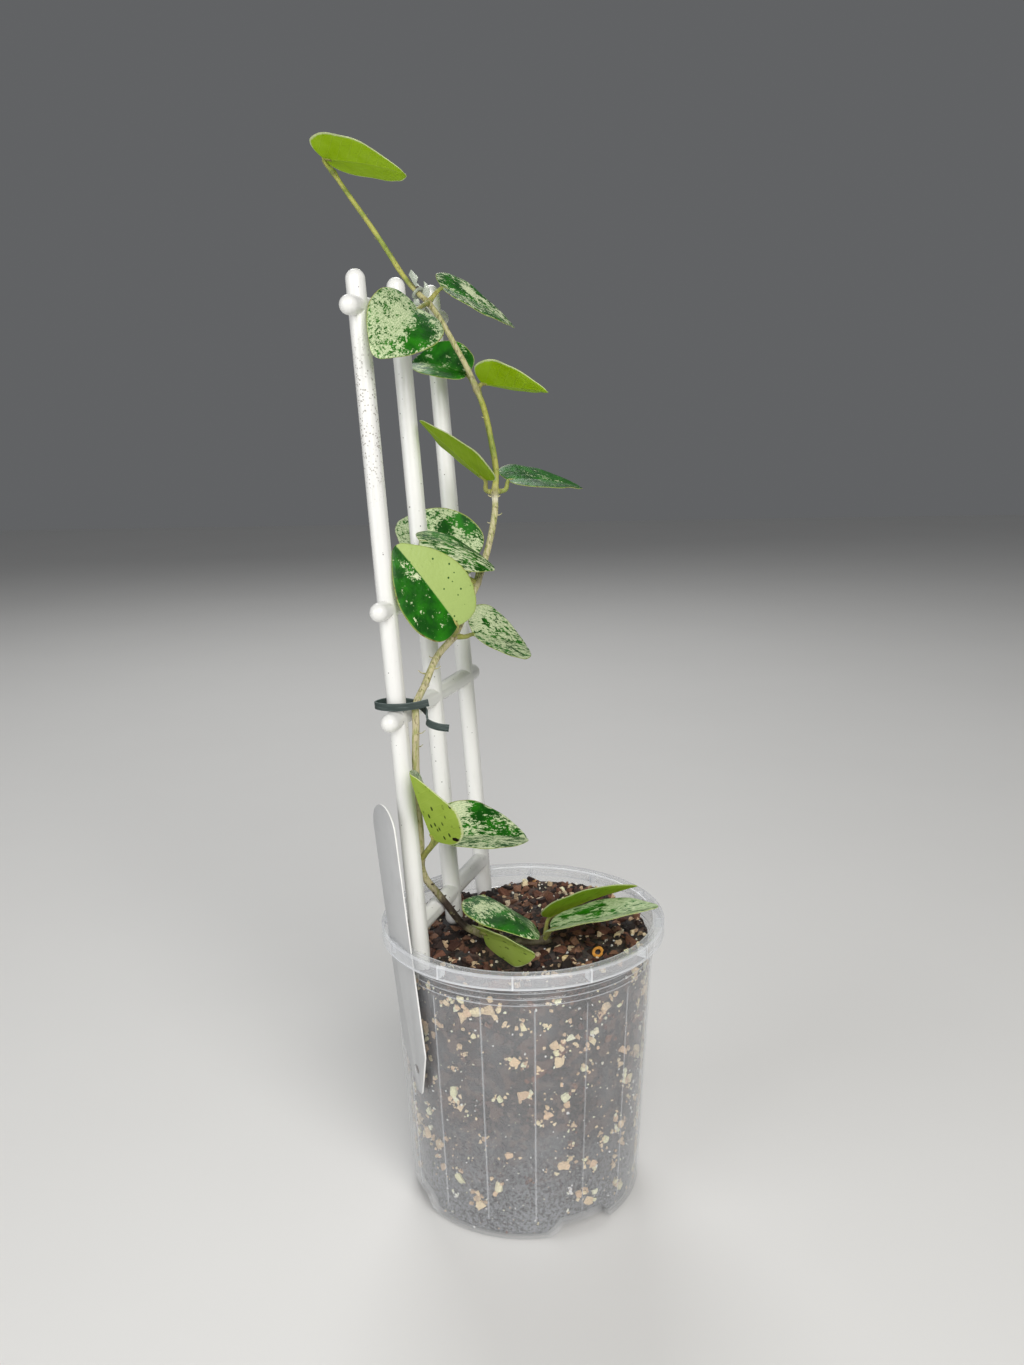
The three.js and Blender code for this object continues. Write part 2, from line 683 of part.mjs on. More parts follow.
// The space that the label needs where it passes through the rim.
function makeLabelSlot() {
  const slot = new THREE.BoxGeometry(LABEL.width + 2 * GAP, LABEL.slotHeight, LABEL.thickness + 2 * GAP);
  return solid(slot.applyMatrix4(labelPlacement()));
}

// A flat strap along the tie's line, its width kept upright.
function makeTie() {
  const curve = new THREE.CatmullRomCurve3(TIE_POINTS.map(vector), false, "centripetal");
  const points = [];
  const triangles = [];
  for (let i = 0; i <= TIE.steps; i++) {
    const along = curve.getTangentAt(i / TIE.steps);
    const up = poleLean.clone().addScaledVector(along, -along.dot(poleLean)).normalize();
    const out = along.clone().cross(up);
    for (const [h, t] of [[-1, -1], [-1, 1], [1, 1], [1, -1]]) {
      const corner = curve.getPointAt(i / TIE.steps);
      corner.addScaledVector(up, (h * TIE.height) / 2).addScaledVector(out, (t * TIE.thickness) / 2);
      points.push(corner);
    }
  }
  for (let i = 0; i < TIE.steps; i++) {
    for (let j = 0; j < 4; j++) {
      const [a, b] = [i * 4 + j, i * 4 + ((j + 1) % 4)];
      triangles.push([a, b + 4, b], [a, a + 4, b + 4]);
    }
  }
  const last = TIE.steps * 4;
  triangles.push([0, 1, 2], [0, 2, 3], [last, last + 2, last + 1], [last, last + 3, last + 2]);
  return solid(geometryFrom(points, triangles));
}

function makeClip() {
  const upward = new THREE.Vector3(0, 0, 1);
  const ring = new THREE.TorusGeometry(CLIP.ringRadius, CLIP.ringThickness, 6, 14);
  ring.applyQuaternion(new THREE.Quaternion().setFromUnitVectors(upward, vector(CLIP.vineLine).normalize()));
  ring.translate(...CLIP.onVine);
  const rung = onTrellis(CLIP.saddleAt, TRELLIS.rungHeights[0]);
  const half = radians(CLIP.saddleSweep) / 2;
  const inner = TRELLIS.rungRadius + GAP;
  const outer = inner + CLIP.saddleThickness;
  const outline = new THREE.Shape();
  outline.absarc(0, 0, outer, Math.PI / 2 - half, Math.PI / 2 + half, false);
  outline.absarc(0, 0, inner, Math.PI / 2 + half, Math.PI / 2 - half, true);
  outline.closePath();
  const saddle = new THREE.ExtrudeGeometry(outline, {
    depth: CLIP.saddleWidth,
    bevelEnabled: false,
    curveSegments: 12,
  });
  saddle.translate(0, 0, -CLIP.saddleWidth / 2);
  const across = upward.clone().cross(rungLine);
  saddle.applyMatrix4(new THREE.Matrix4().makeBasis(across, upward, rungLine.clone()));
  saddle.translate(...rung.toArray());
  const ringUnder = CLIP.onVine[2] - CLIP.ringRadius;
  const saddleTop = rung.z + inner + CLIP.saddleThickness / 2;
  const bridge = new THREE.BoxGeometry(CLIP.bridgeWidth, CLIP.bridgeWidth, ringUnder - saddleTop);
  bridge.translate(rung.x, rung.y, (ringUnder + saddleTop) / 2);
  const tab = new THREE.BoxGeometry(...CLIP.tabSize).rotateY(-radians(CLIP.tabLean)).translate(...CLIP.tabAt);
  return joined([ring, saddle, bridge, tab].map(solid));
}

// ---------------------------------------------------------------- the mix
function mixHeight(x, y) {
  let [sum, weight] = [0, 0];
  for (const [px, py, z] of MIX_HEIGHTS) {
    const near = 1 / ((x - px) ** 2 + (y - py) ** 2 + MIX.blend) ** 1.5;
    sum += z * near;
    weight += near;
  }
  return sum / weight;
}

// The mix's body below its uneven surface, wider than the pot, for cutting to the pot's inside.
function mixGround(random) {
  const { segments } = MIX;
  const points = [new THREE.Vector3(0, 0, 0), new THREE.Vector3(0, 0, mixHeight(0, 0))];
  const triangles = [];
  const at = (ring, j) => 2 + ring * segments + (j % segments);
  MIX.rings.forEach((radius, ring) => {
    for (let j = 0; j < segments; j++) {
      const angle = (2 * Math.PI * j) / segments;
      const [x, y] = [radius * Math.cos(angle), radius * Math.sin(angle)];
      points.push(new THREE.Vector3(x, y, mixHeight(x, y) + (random() - 0.5) * MIX.rough));
      if (ring === 0) triangles.push([1, at(0, j), at(0, j + 1)]);
      else {
        triangles.push([at(ring - 1, j), at(ring, j), at(ring, j + 1)]);
        triangles.push([at(ring - 1, j), at(ring, j + 1), at(ring - 1, j + 1)]);
      }
    }
  });
  const [edge, low] = [MIX.rings.length - 1, MIX.rings.length];
  for (let j = 0; j < segments; j++) {
    const angle = (2 * Math.PI * j) / segments;
    const radius = MIX.rings[edge];
    points.push(new THREE.Vector3(radius * Math.cos(angle), radius * Math.sin(angle), 0));
    triangles.push([at(edge, j), at(low, j), at(low, j + 1)], [at(edge, j), at(low, j + 1), at(edge, j + 1)]);
    triangles.push([0, at(low, j + 1), at(low, j)]);
  }
  return solid(geometryFrom(points, triangles));
}

// A lump of bark or pumice, sunk half into the surface.
function chunk(random) {
  const angle = 2 * Math.PI * random();
  const reach = (wallAt(110) - 4) * Math.sqrt(random());
  const [x, y] = [reach * Math.cos(angle), reach * Math.sin(angle)];
  const size = THREE.MathUtils.lerp(MIX.smallest, MIX.largest, random() ** 1.5);
  const between = ([low, high]) => THREE.MathUtils.lerp(low, high, random());
  const lump = new THREE.IcosahedronGeometry(1, 0);
  lump.scale(size, size * between(MIX.breadth), size * between(MIX.depth));
  lump.rotateX(random() - 0.5).rotateY(0.8 * (random() - 0.5)).rotateZ(2 * Math.PI * random());
  return solid(lump.translate(x, y, mixHeight(x, y) + 0.1 * size));
}

function makeMix(clearances) {
  const random = randomFrom(MIX.seed);
  const chunks = Array.from({ length: MIX.chunks }, () => chunk(random));
  const above = POT.height + 20;
  const room = solid(turned([[0, above], ...innerProfile(GAP, above)].reverse()));
  const recesses = FOOT.azimuths.map((azimuth) => footRecess(azimuth, POT.floorThickness + GAP));
  const cuts = joined([...recesses, ...clearances]);
  return joined([mixGround(random), ...chunks]).intersect(room).subtract(cuts);
}

// ---------------------------------------------------------------- assembly
const plant = new THREE.Group();

function addPiece(name, made, material) {
  const mesh = new THREE.Mesh(geometryOf(made), material);
  mesh.name = name;
  plant.add(mesh);
}

const vine = makeVine();
const wideVine = makeVine(GAP);
const leaves = LEAVES.map((leaf) => makeLeaf(leaf, wideVine));
const roomForPlant = [makeTrellis(GAP), makeVine(GAP_WIDE), makeBlade(LEAVES[LOW_LEAF], GAP_WIDE)];
addPiece("pot", makePot(makeLabelSlot()), CLEAR_PLASTIC);
addPiece("potting_mix", mainBody(makeMix(roomForPlant)), BARK_MIX);
addPiece("trellis", makeTrellis(), WHITE_PLASTIC);
addPiece("plant_label", makeLabel(), TAG_PLASTIC);
addPiece("plant_tie", makeTie(), DARK_STRAP);
addPiece("top_clip", mainBody(makeClip().subtract(wideVine)), CLIP_PLASTIC);
addPiece("vine_stem", vine, VINE_BARK);
leaves.forEach((leaf, i) => addPiece(`leaf_${String(i + 1).padStart(2, "0")}`, leaf, LEAF_GREEN));

export default plant;
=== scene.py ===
"""A variegated hoya vine on a white ladder trellis in a clear nursery pot, dressed round its frame.

Sizes are in millimetres in the part's frame (+Z up, -Y to the front) and become metres in meshes.
"""
import logging
import math
from dataclasses import dataclass, field
from enum import Enum
from typing import Optional, Sequence, Union

import bmesh
import bpy
import numpy as np
from mathutils import Matrix, Vector
from mathutils.bvhtree import BVHTree
from mathutils.kdtree import KDTree


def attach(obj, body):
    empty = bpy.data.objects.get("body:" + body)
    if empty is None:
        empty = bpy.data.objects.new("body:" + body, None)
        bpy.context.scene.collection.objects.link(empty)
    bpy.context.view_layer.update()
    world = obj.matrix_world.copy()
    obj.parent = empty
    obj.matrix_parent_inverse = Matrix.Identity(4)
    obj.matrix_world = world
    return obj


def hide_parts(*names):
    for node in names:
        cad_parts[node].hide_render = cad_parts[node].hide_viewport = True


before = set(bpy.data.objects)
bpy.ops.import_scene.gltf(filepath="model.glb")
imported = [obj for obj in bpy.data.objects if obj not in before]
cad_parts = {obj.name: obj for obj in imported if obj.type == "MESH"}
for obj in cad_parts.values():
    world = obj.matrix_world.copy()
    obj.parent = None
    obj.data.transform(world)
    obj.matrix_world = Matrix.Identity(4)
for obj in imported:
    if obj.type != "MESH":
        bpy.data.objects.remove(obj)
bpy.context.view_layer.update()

MM = 0.001
ROOT = "root"
Finish = bpy.types.Material
Piece = bpy.types.Object
Draws = np.random.Generator
Outline = Sequence[tuple[float, float]]
Angles = Union[float, np.ndarray]
log = logging.getLogger("hoya")


# ---- shader expressions
class Link:
    """One output of a shader node, used as a number in Python expressions."""

    def __init__(self, shader: "Shader", socket: bpy.types.NodeSocket) -> None:
        """Keeps the shader and the socket."""
        self.shader = shader
        self.socket = socket

    def _math(self, operation: str, first: "Value", second: "Value") -> "Link":
        """Adds one Math node."""
        return self.shader.node("ShaderNodeMath", {"operation": operation}, {0: first, 1: second})

    def __add__(self, other: "Value") -> "Link":
        """Adds."""
        return self._math("ADD", self, other)

    __radd__ = __add__

    def __sub__(self, other: "Value") -> "Link":
        """Subtracts."""
        return self._math("SUBTRACT", self, other)

    def __rsub__(self, other: "Value") -> "Link":
        """Subtracts this from a number."""
        return self._math("SUBTRACT", other, self)

    def __mul__(self, other: "Value") -> "Link":
        """Multiplies."""
        return self._math("MULTIPLY", self, other)

    __rmul__ = __mul__

    def __truediv__(self, other: "Value") -> "Link":
        """Divides."""
        return self._math("DIVIDE", self, other)

    def __abs__(self) -> "Link":
        """Takes the size without the sign."""
        return self._math("ABSOLUTE", self, 0.0)

    def step(self, low: float, high: float) -> "Link":
        """Goes smoothly from 0 at low to 1 at high; high may be the smaller number."""
        ends = {"Value": self, "From Min": low, "From Max": high}
        return self.shader.node("ShaderNodeMapRange", {"interpolation_type": "SMOOTHSTEP"}, ends)


Value = Union[Link, float]
Colour = Union[Link, Sequence[float]]
Input = Union[Colour, Value]


class Shader:
    """A node material while it is being put together."""

    def __init__(self, name: str) -> None:
        """Makes an empty node material."""
        self.material = bpy.data.materials.new(name)
        self.material.use_nodes = True
        self.tree = self.material.node_tree
        self.tree.nodes.clear()

    def node(self, kind: str, settings: Optional[dict] = None, sockets: Optional[dict] = None,
             output: Union[int, str, None] = 0) -> Optional[Link]:
        """Adds any node.

        Args:
            kind: the node's type.
            settings: its properties, set first.
            sockets: values or links by socket name or number.
            output: the output that is wanted, or None for the last node.

        Returns:
            That output, if one is wanted.
        """
        made = self.tree.nodes.new(kind)
        for key, value in (settings or {}).items():
            setattr(made, key, value)
        for key, value in (sockets or {}).items():
            target = made.inputs[key]
            if isinstance(value, Link):
                self.tree.links.new(value.socket, target)
            elif isinstance(value, (tuple, list)) and target.type == "RGBA":
                target.default_value = (*value, 1.0)
            else:
                target.default_value = value
        return None if output is None else Link(self, made.outputs[output])

    def place(self) -> Link:
        """The point in the part's frame, in metres."""
        return self.node("ShaderNodeTexCoord", output="Object")

    def parts(self, vector: Link) -> tuple[Link, ...]:
        """A vector's three numbers."""
        split = self.node("ShaderNodeSeparateXYZ", sockets={0: vector}).socket.node
        return tuple(Link(self, output) for output in split.outputs)

    def layer(self, name: str) -> tuple[Link, ...]:
        """The three numbers that a mesh layer holds at each point."""
        return self.parts(self.node("ShaderNodeAttribute", {"attribute_name": name}, output="Vector"))

    def point(self, x: Value, y: Value, z: Value) -> Link:
        """A vector from three numbers."""
        return self.node("ShaderNodeCombineXYZ", sockets={0: x, 1: y, 2: z})

    def noise(self, vector: Link, size: float, detail: float = 3.0, roughness: float = 0.55) -> Link:
        """Cloudy noise whose blobs are about size across, in the vector's own units."""
        sockets = {"Vector": vector, "Scale": 1 / size, "Detail": detail, "Roughness": roughness}
        return self.node("ShaderNodeTexNoise", sockets=sockets)

    def cells(self, vector: Link, size: float) -> Link:
        """The distance to the nearest of scattered points about size apart, in cell widths."""
        sockets = {"Vector": vector, "Scale": 1 / size}
        return self.node("ShaderNodeTexVoronoi", sockets=sockets, output="Distance")

    def stretched(self, vector: Link, by: Sequence[float]) -> Link:
        """A vector scaled along each axis."""
        return self.node("ShaderNodeVectorMath", {"operation": "MULTIPLY"}, {0: vector, 1: Vector(by)})

    def mix(self, share: Value, first: Colour, second: Colour, blend: str = "MIX") -> Link:
        """Goes from the first colour to the second, or blends it in; 6, 7 and 2 are colour sockets."""
        settings = {"data_type": "RGBA", "blend_type": blend}
        return self.node("ShaderNodeMix", settings, {0: share, 6: first, 7: second}, 2)

    def bump(self, height: Link, depth: float) -> Link:
        """A normal from a height, depth in millimetres for a height of 1."""
        sockets = {"Height": height, "Distance": depth * MM, "Strength": 1.0}
        return self.node("ShaderNodeBump", sockets=sockets)

    def principled(self, **sockets: Input) -> Link:
        """The main surface shader; a socket's spaces are written as underscores."""
        named = {key.replace("_", " "): value for key, value in sockets.items()}
        return self.node("ShaderNodeBsdfPrincipled", sockets=named)

    def finish(self, surface: Link) -> Finish:
        """Joins the surface to the output and gives the material."""
        self.node("ShaderNodeOutputMaterial", sockets={"Surface": surface}, output=None)
        return self.material

    def dressed(self, **sockets: Input) -> Finish:
        """The finished material where it is one principled surface."""
        return self.finish(self.principled(**sockets))


# ---- finishes
@dataclass(frozen=True)
class ClearPlastic:
    """Clear, slightly milky moulded plastic, whiter at its edges, with a faint haze inside and pale
    lines that are partly painted highlight.
    """

    name: str = "clear_plastic"
    milk: tuple = (0.87, 0.89, 0.92)
    mirror: tuple = (0.95, 0.96, 0.97)
    haze: float = 0.045
    cloud_haze: float = 0.07
    scuff_haze: float = 0.05
    drop_haze: float = 0.06
    line_haze_and_highlight: float = 0.5
    grazing_haze: float = 0.22
    roughness: float = 0.16
    refraction: float = 1.46
    glint: tuple = (0.03, 0.5)

    def material(self) -> Finish:
        """Returns the material."""
        shade = Shader(self.name)
        place = shade.place()
        line, _, _ = shade.layer("line")
        cloud = shade.noise(place, 30 * MM, 2.0)
        scuffs = shade.noise(shade.stretched(place, (1, 1, 0.12)), 1.4 * MM, 4.0, 0.7).step(0.6, 0.8)
        drops = shade.cells(place, 2.6 * MM).step(0.2, 0.1)
        wet = shade.noise(place, 17 * MM, 2.0).step(0.52, 0.66)
        edge = shade.node("ShaderNodeLayerWeight", sockets={"Blend": 0.5}, output="Facing")
        # The line layer adds milkiness at ribs, rings and rim, partly a painted highlight.
        alpha = (self.haze + cloud * self.cloud_haze + scuffs * self.scuff_haze
                 + drops * wet * self.drop_haze + line * self.line_haze_and_highlight
                 + edge * edge * edge * self.grazing_haze)
        normal = shade.bump(scuffs * 0.3 + drops * wet, 0.06)
        body = shade.principled(Base_Color=self.milk, Roughness=self.roughness + scuffs * 0.2,
                                Alpha=alpha, Normal=normal, IOR=self.refraction)
        gloss = shade.principled(Base_Color=self.mirror, Roughness=0.08, Metallic=1.0)
        faced, grazed = self.glint
        glint = faced + edge * edge * edge * edge * grazed
        return shade.finish(shade.node("ShaderNodeMixShader", sockets={0: glint, 1: body, 2: gloss}))


@dataclass(frozen=True)
class WhitePlastic:
    """Glossy white plastic: grimy streaks, a few dark specks, and a stain high on the left pole."""

    white: tuple = (0.77, 0.77, 0.74)
    grime: tuple = (0.42, 0.44, 0.36)
    speck: tuple = (0.045, 0.04, 0.03)
    stain: tuple = (0.22, 0.20, 0.16)
    stained: tuple = (-0.058, -0.013, 0.149)
    stain_reach: tuple = (0.018, 0.006)
    stain_squash: tuple = (1, 1, 0.45)

    def material(self) -> Finish:
        """Returns the material."""
        shade = Shader("white_plastic")
        place = shade.place()
        streaks = shade.noise(shade.stretched(place, (1, 1, 0.1)), 1.6 * MM, 4.0, 0.65)
        area = shade.noise(place, 26 * MM, 3.0).step(0.5, 0.68)
        dirt = streaks.step(0.52, 0.74) * area
        squashed = shade.stretched(place, self.stain_squash)
        away = shade.node("ShaderNodeVectorMath", {"operation": "DISTANCE"},
                          {0: squashed, 1: Vector(self.stained)}, "Value")
        worn = away.step(*self.stain_reach)
        fine_dots = shade.cells(place, 1.0 * MM).step(0.42, 0.22)
        fine_dots *= shade.noise(place, 3 * MM).step(0.42, 0.52)
        dots = shade.cells(place, 2.6 * MM).step(0.13, 0.07)
        dots *= shade.noise(place, 9 * MM).step(0.50, 0.56)
        colour = shade.mix(dirt * 0.35, self.white, self.grime)
        colour = shade.mix(fine_dots * worn * 0.8, colour, self.stain)
        colour = shade.mix(dots * 0.85, colour, self.speck)
        rough = 0.26 + dirt * 0.2 + shade.noise(place, 12 * MM) * 0.1
        normal = shade.bump(streaks * 0.4 + shade.noise(place, 7 * MM, 2.0), 0.12)
        return shade.dressed(Base_Color=colour, Roughness=rough, Normal=normal,
                             Coat_Weight=0.25, Coat_Roughness=0.12)


@dataclass(frozen=True)
class TagSheet:
    """Satin grey-white plastic sheet with faint smudges."""

    name: str = "tag_sheet"
    face: tuple = (0.50, 0.505, 0.505)
    smudge: tuple = (0.42, 0.425, 0.425)

    def material(self) -> Finish:
        """Returns the material."""
        shade = Shader(self.name)
        place = shade.place()
        cloud = shade.noise(place, 16 * MM, 4.0)
        fine = shade.noise(shade.stretched(place, (1, 1, 0.3)), 0.9 * MM, 3.0, 0.7)
        smudged = cloud.step(0.42, 0.75) * 0.6 + fine.step(0.6, 0.8) * 0.2
        return shade.dressed(Base_Color=shade.mix(smudged, self.face, self.smudge),
                             Roughness=0.4 + fine * 0.2, Normal=shade.bump(fine + cloud, 0.07))


@dataclass(frozen=True)
class Strap:
    """Soft dark green-black strap with fine worn lengthwise lines, and edges painted lighter as a
    highlight.
    """

    dark: tuple = (0.020, 0.036, 0.032)
    worn: tuple = (0.15, 0.19, 0.18)

    def material(self) -> Finish:
        """Returns the material."""
        shade = Shader("strap")
        along, across, _ = shade.layer("band")
        lines = shade.noise(shade.point(along * 0.06, across, 0.0), 0.42, 3.0, 0.6)
        # The edges are painted lighter, a painted highlight; the lengthwise lines are wear.
        rim = abs(across).step(1.15, 1.45)
        wear_and_edge_highlight = lines.step(0.5, 0.75) * 0.5 + rim * 0.55
        colour = shade.mix(wear_and_edge_highlight, self.dark, self.worn)
        return shade.dressed(Base_Color=colour, Roughness=0.42 + lines * 0.2,
                             Normal=shade.bump(lines, 0.15))


@dataclass(frozen=True)
class CutEnd:
    """The pale core that shows where the strap is cut, with a coarse torn grain."""

    pale: tuple = (0.34, 0.36, 0.31)
    dark: tuple = (0.12, 0.14, 0.11)

    def material(self) -> Finish:
        """Returns the material."""
        shade = Shader("cut_end")
        grain = shade.noise(shade.place(), 0.4 * MM, 4.0, 0.7)
        return shade.dressed(Base_Color=shade.mix(grain, self.pale, self.dark),
                             Roughness=0.7, Normal=shade.bump(grain, 0.1))


@dataclass(frozen=True)
class ClipPlastic:
    """Translucent grey-green plastic, cloudy and a little scratched."""

    tint: tuple = (0.36, 0.42, 0.33)
    pale: tuple = (0.66, 0.70, 0.60)
    haze: tuple = (0.42, 0.35)

    def material(self) -> Finish:
        """Returns the material."""
        shade = Shader("clip_plastic")
        place = shade.place()
        cloud = shade.noise(place, 3 * MM, 3.0)
        scratch = shade.noise(shade.stretched(place, (1, 1, 0.15)), 0.5 * MM, 3.0, 0.7).step(0.55, 0.8)
        colour = shade.mix(cloud * 0.6 + scratch * 0.4, self.tint, self.pale)
        clear, cloudy = self.haze
        return shade.dressed(Base_Color=colour, Roughness=0.14 + scratch * 0.25,
                             Alpha=clear + cloud * cloudy, Normal=shade.bump(cloud, 0.1))


@dataclass(frozen=True)
class DarkMetal:
    """The clip's small dark pivot pin, lightly tarnished."""

    steel: tuple = (0.05, 0.05, 0.045)
    rust: tuple = (0.10, 0.06, 0.03)

    def material(self) -> Finish:
        """Returns the material."""
        shade = Shader("dark_metal")
        spots = shade.noise(shade.place(), 0.5 * MM, 4.0).step(0.45, 0.7)
        return shade.dressed(Base_Color=shade.mix(spots, self.steel, self.rust),
                             Metallic=0.7, Roughness=0.3 + spots * 0.4)


@dataclass(frozen=True)
class MixBed:
    """The fine, damp base of the potting mix between its lumps."""

    wet: tuple = (0.010, 0.007, 0.005)
    crumb: tuple = (0.075, 0.045, 0.03)
    grey: tuple = (0.085, 0.088, 0.092)
    brown: tuple = (0.13, 0.075, 0.055)
    grit: tuple = (0.22, 0.23, 0.245)
    sandy_below: tuple = (0.062, 0.006)

    def material(self) -> Finish:
        """Returns the material."""
        shade = Shader("mix_bed")
        place = shade.place()
        _, _, height = shade.parts(place)
        low = height.step(*self.sandy_below)
        crumbs = shade.noise(place, 1.3 * MM, 5.0, 0.7)
        patches = shade.noise(place, 14 * MM, 3.0)
        shine = shade.cells(place, 2.2 * MM).step(0.32, 0.1)
        colour = shade.mix(crumbs.step(0.42, 0.7), self.wet, self.crumb)
        chunks = shade.noise(place, 5 * MM, 2.0)
        colour = shade.mix(chunks.step(0.50, 0.57) * (0.8 - low * 0.7), colour, self.brown)
        colour = shade.mix(patches.step(0.45, 0.7) * 0.6, colour, self.grey)
        sandy = low * (0.5 + patches) * crumbs.step(0.40, 0.56)
        colour = shade.mix(sandy, colour, self.grit)
        specks = shade.cells(place, 1.9 * MM).step(0.3, 0.14) * patches.step(0.42, 0.56)
        colour = shade.mix(specks * low * 0.9, colour, self.wet)
        rough = 0.85 - shine * patches.step(0.5, 0.6) * 0.55
        return shade.dressed(Base_Color=colour, Roughness=rough,
                             Normal=shade.bump(crumbs + patches * 0.5, 0.9))


@dataclass(frozen=True)
class Grit:
    """Lumps of bark, pumice and perlite: each lump's colour, brightened as painted light on top and at
    the wall, with pores, grain and damp sides.
    """

    damp: tuple = (0.38, 0.34, 0.31)

    def material(self) -> Finish:
        """Returns the material."""
        shade = Shader("grit")
        place = shade.place()
        # The colour layer holds each lump's colour, brightened as painted light on top and at the wall.
        own = shade.node("ShaderNodeAttribute", {"attribute_name": "tone_and_painted_light"}, output="Color")
        grain = shade.noise(shade.stretched(place, (1, 1, 2.2)), 0.8 * MM, 4.0, 0.65)
        pores = shade.cells(place, 0.75 * MM).step(0.25, 0.05)
        dark = shade.mix(1.0, own, self.damp, "MULTIPLY")
        colour = shade.mix(grain.step(0.35, 0.75) * 0.7 + pores * 0.3, own, dark)
        return shade.dressed(Base_Color=colour, Roughness=0.62 + grain * 0.3,
                             Normal=shade.bump(grain - pores * 0.6, 0.35))


@dataclass(frozen=True)
class CaneBark:
    """The vine's skin: olive-yellow where young, grey-tan and woody low down, with brown flecks."""

    young: tuple = (0.37, 0.37, 0.07)
    green: tuple = (0.20, 0.27, 0.03)
    woody: tuple = (0.54, 0.48, 0.30)
    fleck: tuple = (0.085, 0.05, 0.025)
    soiled: tuple = (0.045, 0.03, 0.02)
    mossy: tuple = (0.27, 0.30, 0.07)
    crust: tuple = (0.72, 0.70, 0.60)

    def material(self) -> Finish:
        """Returns the material."""
        shade = Shader("cane_bark")
        place = shade.place()
        age, node, soil = shade.layer("age")
        crusty, _, _ = shade.layer("crust")
        long_grain = shade.noise(shade.stretched(place, (1, 1, 0.25)), 1.0 * MM, 4.0, 0.65)
        blotch = shade.noise(place, 7 * MM, 3.0)
        fleck = shade.noise(shade.stretched(place, (1, 1, 0.5)), 1.1 * MM, 3.0, 0.6).step(0.58, 0.68)
        fresh = shade.mix(blotch.step(0.4, 0.65), self.young, self.green)
        streak = shade.noise(shade.stretched(place, (1, 1, 0.14)), 0.8 * MM, 4.0, 0.65)
        streak = streak.step(0.46, 0.62)
        colour = shade.mix(age, fresh, shade.mix(streak * 0.8, self.woody, self.mossy))
        colour = shade.mix(fleck * (0.25 + age * 0.5) + node * 0.4, colour, self.fleck)
        colour = shade.mix(soil * blotch.step(0.28, 0.46), colour, self.soiled)
        colour = shade.mix(crusty * (0.4 + streak), colour, self.crust)
        return shade.dressed(Base_Color=colour, Roughness=0.5 + long_grain * 0.25,
                             Normal=shade.bump(long_grain + fleck * 0.5, 0.3))


@dataclass(frozen=True)
class LeafTop:
    """A leaf's waxy upper face: dark green under silver mist and cream flecks drawn along the blade."""

    dark: tuple = (0.003, 0.062, 0.001)
    green: tuple = (0.016, 0.175, 0.002)
    mist: tuple = (0.10, 0.25, 0.05)
    cream: tuple = (0.72, 0.78, 0.50)
    silver: tuple = (0.24, 0.38, 0.16)
    plain: tuple = (0.35, 0.46, 0.14)
    rim: tuple = (0.30, 0.36, 0.09)
    scorched: tuple = (0.20, 0.10, 0.04)

    def material(self) -> Finish:
        """Returns the material."""
        shade = Shader("leaf_top")
        along, across, edge = shade.layer("blade")
        cover, streak, seed = shade.layer("splash")
        silvered, patchy, split = shade.layer("habit")
        change, _, _ = shade.layer("patch")
        drawn = shade.point(along / (1.0 + streak * 2.6), across, seed * 17.0)
        even = shade.point(along, across, seed * 9.0)
        coarse = shade.noise(drawn, 2.0, 5.0, 0.68)
        fine = shade.noise(drawn, 0.75, 4.0, 0.7)
        patches = shade.noise(even, 10.0, 2.0)
        marks = ((coarse - 0.5) * 1.8 + (fine - 0.5) * 1.9 + (patches - 0.5) * patchy * 2.6
                 + change + (cover - 0.5) * 1.15)
        flecks = marks.step(-0.01, 0.03)
        haze = marks.step(-0.13, 0.01)
        leaf = shade.mix(shade.noise(even, 7.0, 3.0).step(0.35, 0.7), self.dark, self.green)
        leaf = shade.mix(haze * 0.6, leaf, self.mist)
        grain = shade.noise(drawn, 0.5, 3.0, 0.7)
        pale = shade.mix(silvered * 0.8 + (grain - 0.47) * 3.2, self.cream, self.silver)
        leaf = shade.mix(flecks * 0.95, leaf, pale)
        dots = shade.cells(even, 3.4).step(0.16, 0.08)
        half = shade.mix(dots, self.plain, self.dark)
        leaf = shade.mix((across * split).step(-0.12, 0.2) * abs(split), leaf, half)
        midrib = abs(across).step(0.45, 0.1) * 0.2
        leaf = shade.mix(midrib, leaf, self.mist)
        brown = shade.noise(even, 2.2, 3.0).step(0.55, 0.66)
        rim = shade.mix(brown, self.rim, self.scorched)
        leaf = shade.mix(edge.step(0.955, 0.99) * 0.85, leaf, rim)
        veins = shade.noise(even, 1.6, 3.0)
        normal = shade.bump(veins * 0.7 + flecks * 0.18 + patches, 0.28)
        rough = 0.34 + flecks * 0.12 + fine * 0.14
        return shade.dressed(Base_Color=leaf, Roughness=rough, Normal=normal, Specular_IOR_Level=0.24)


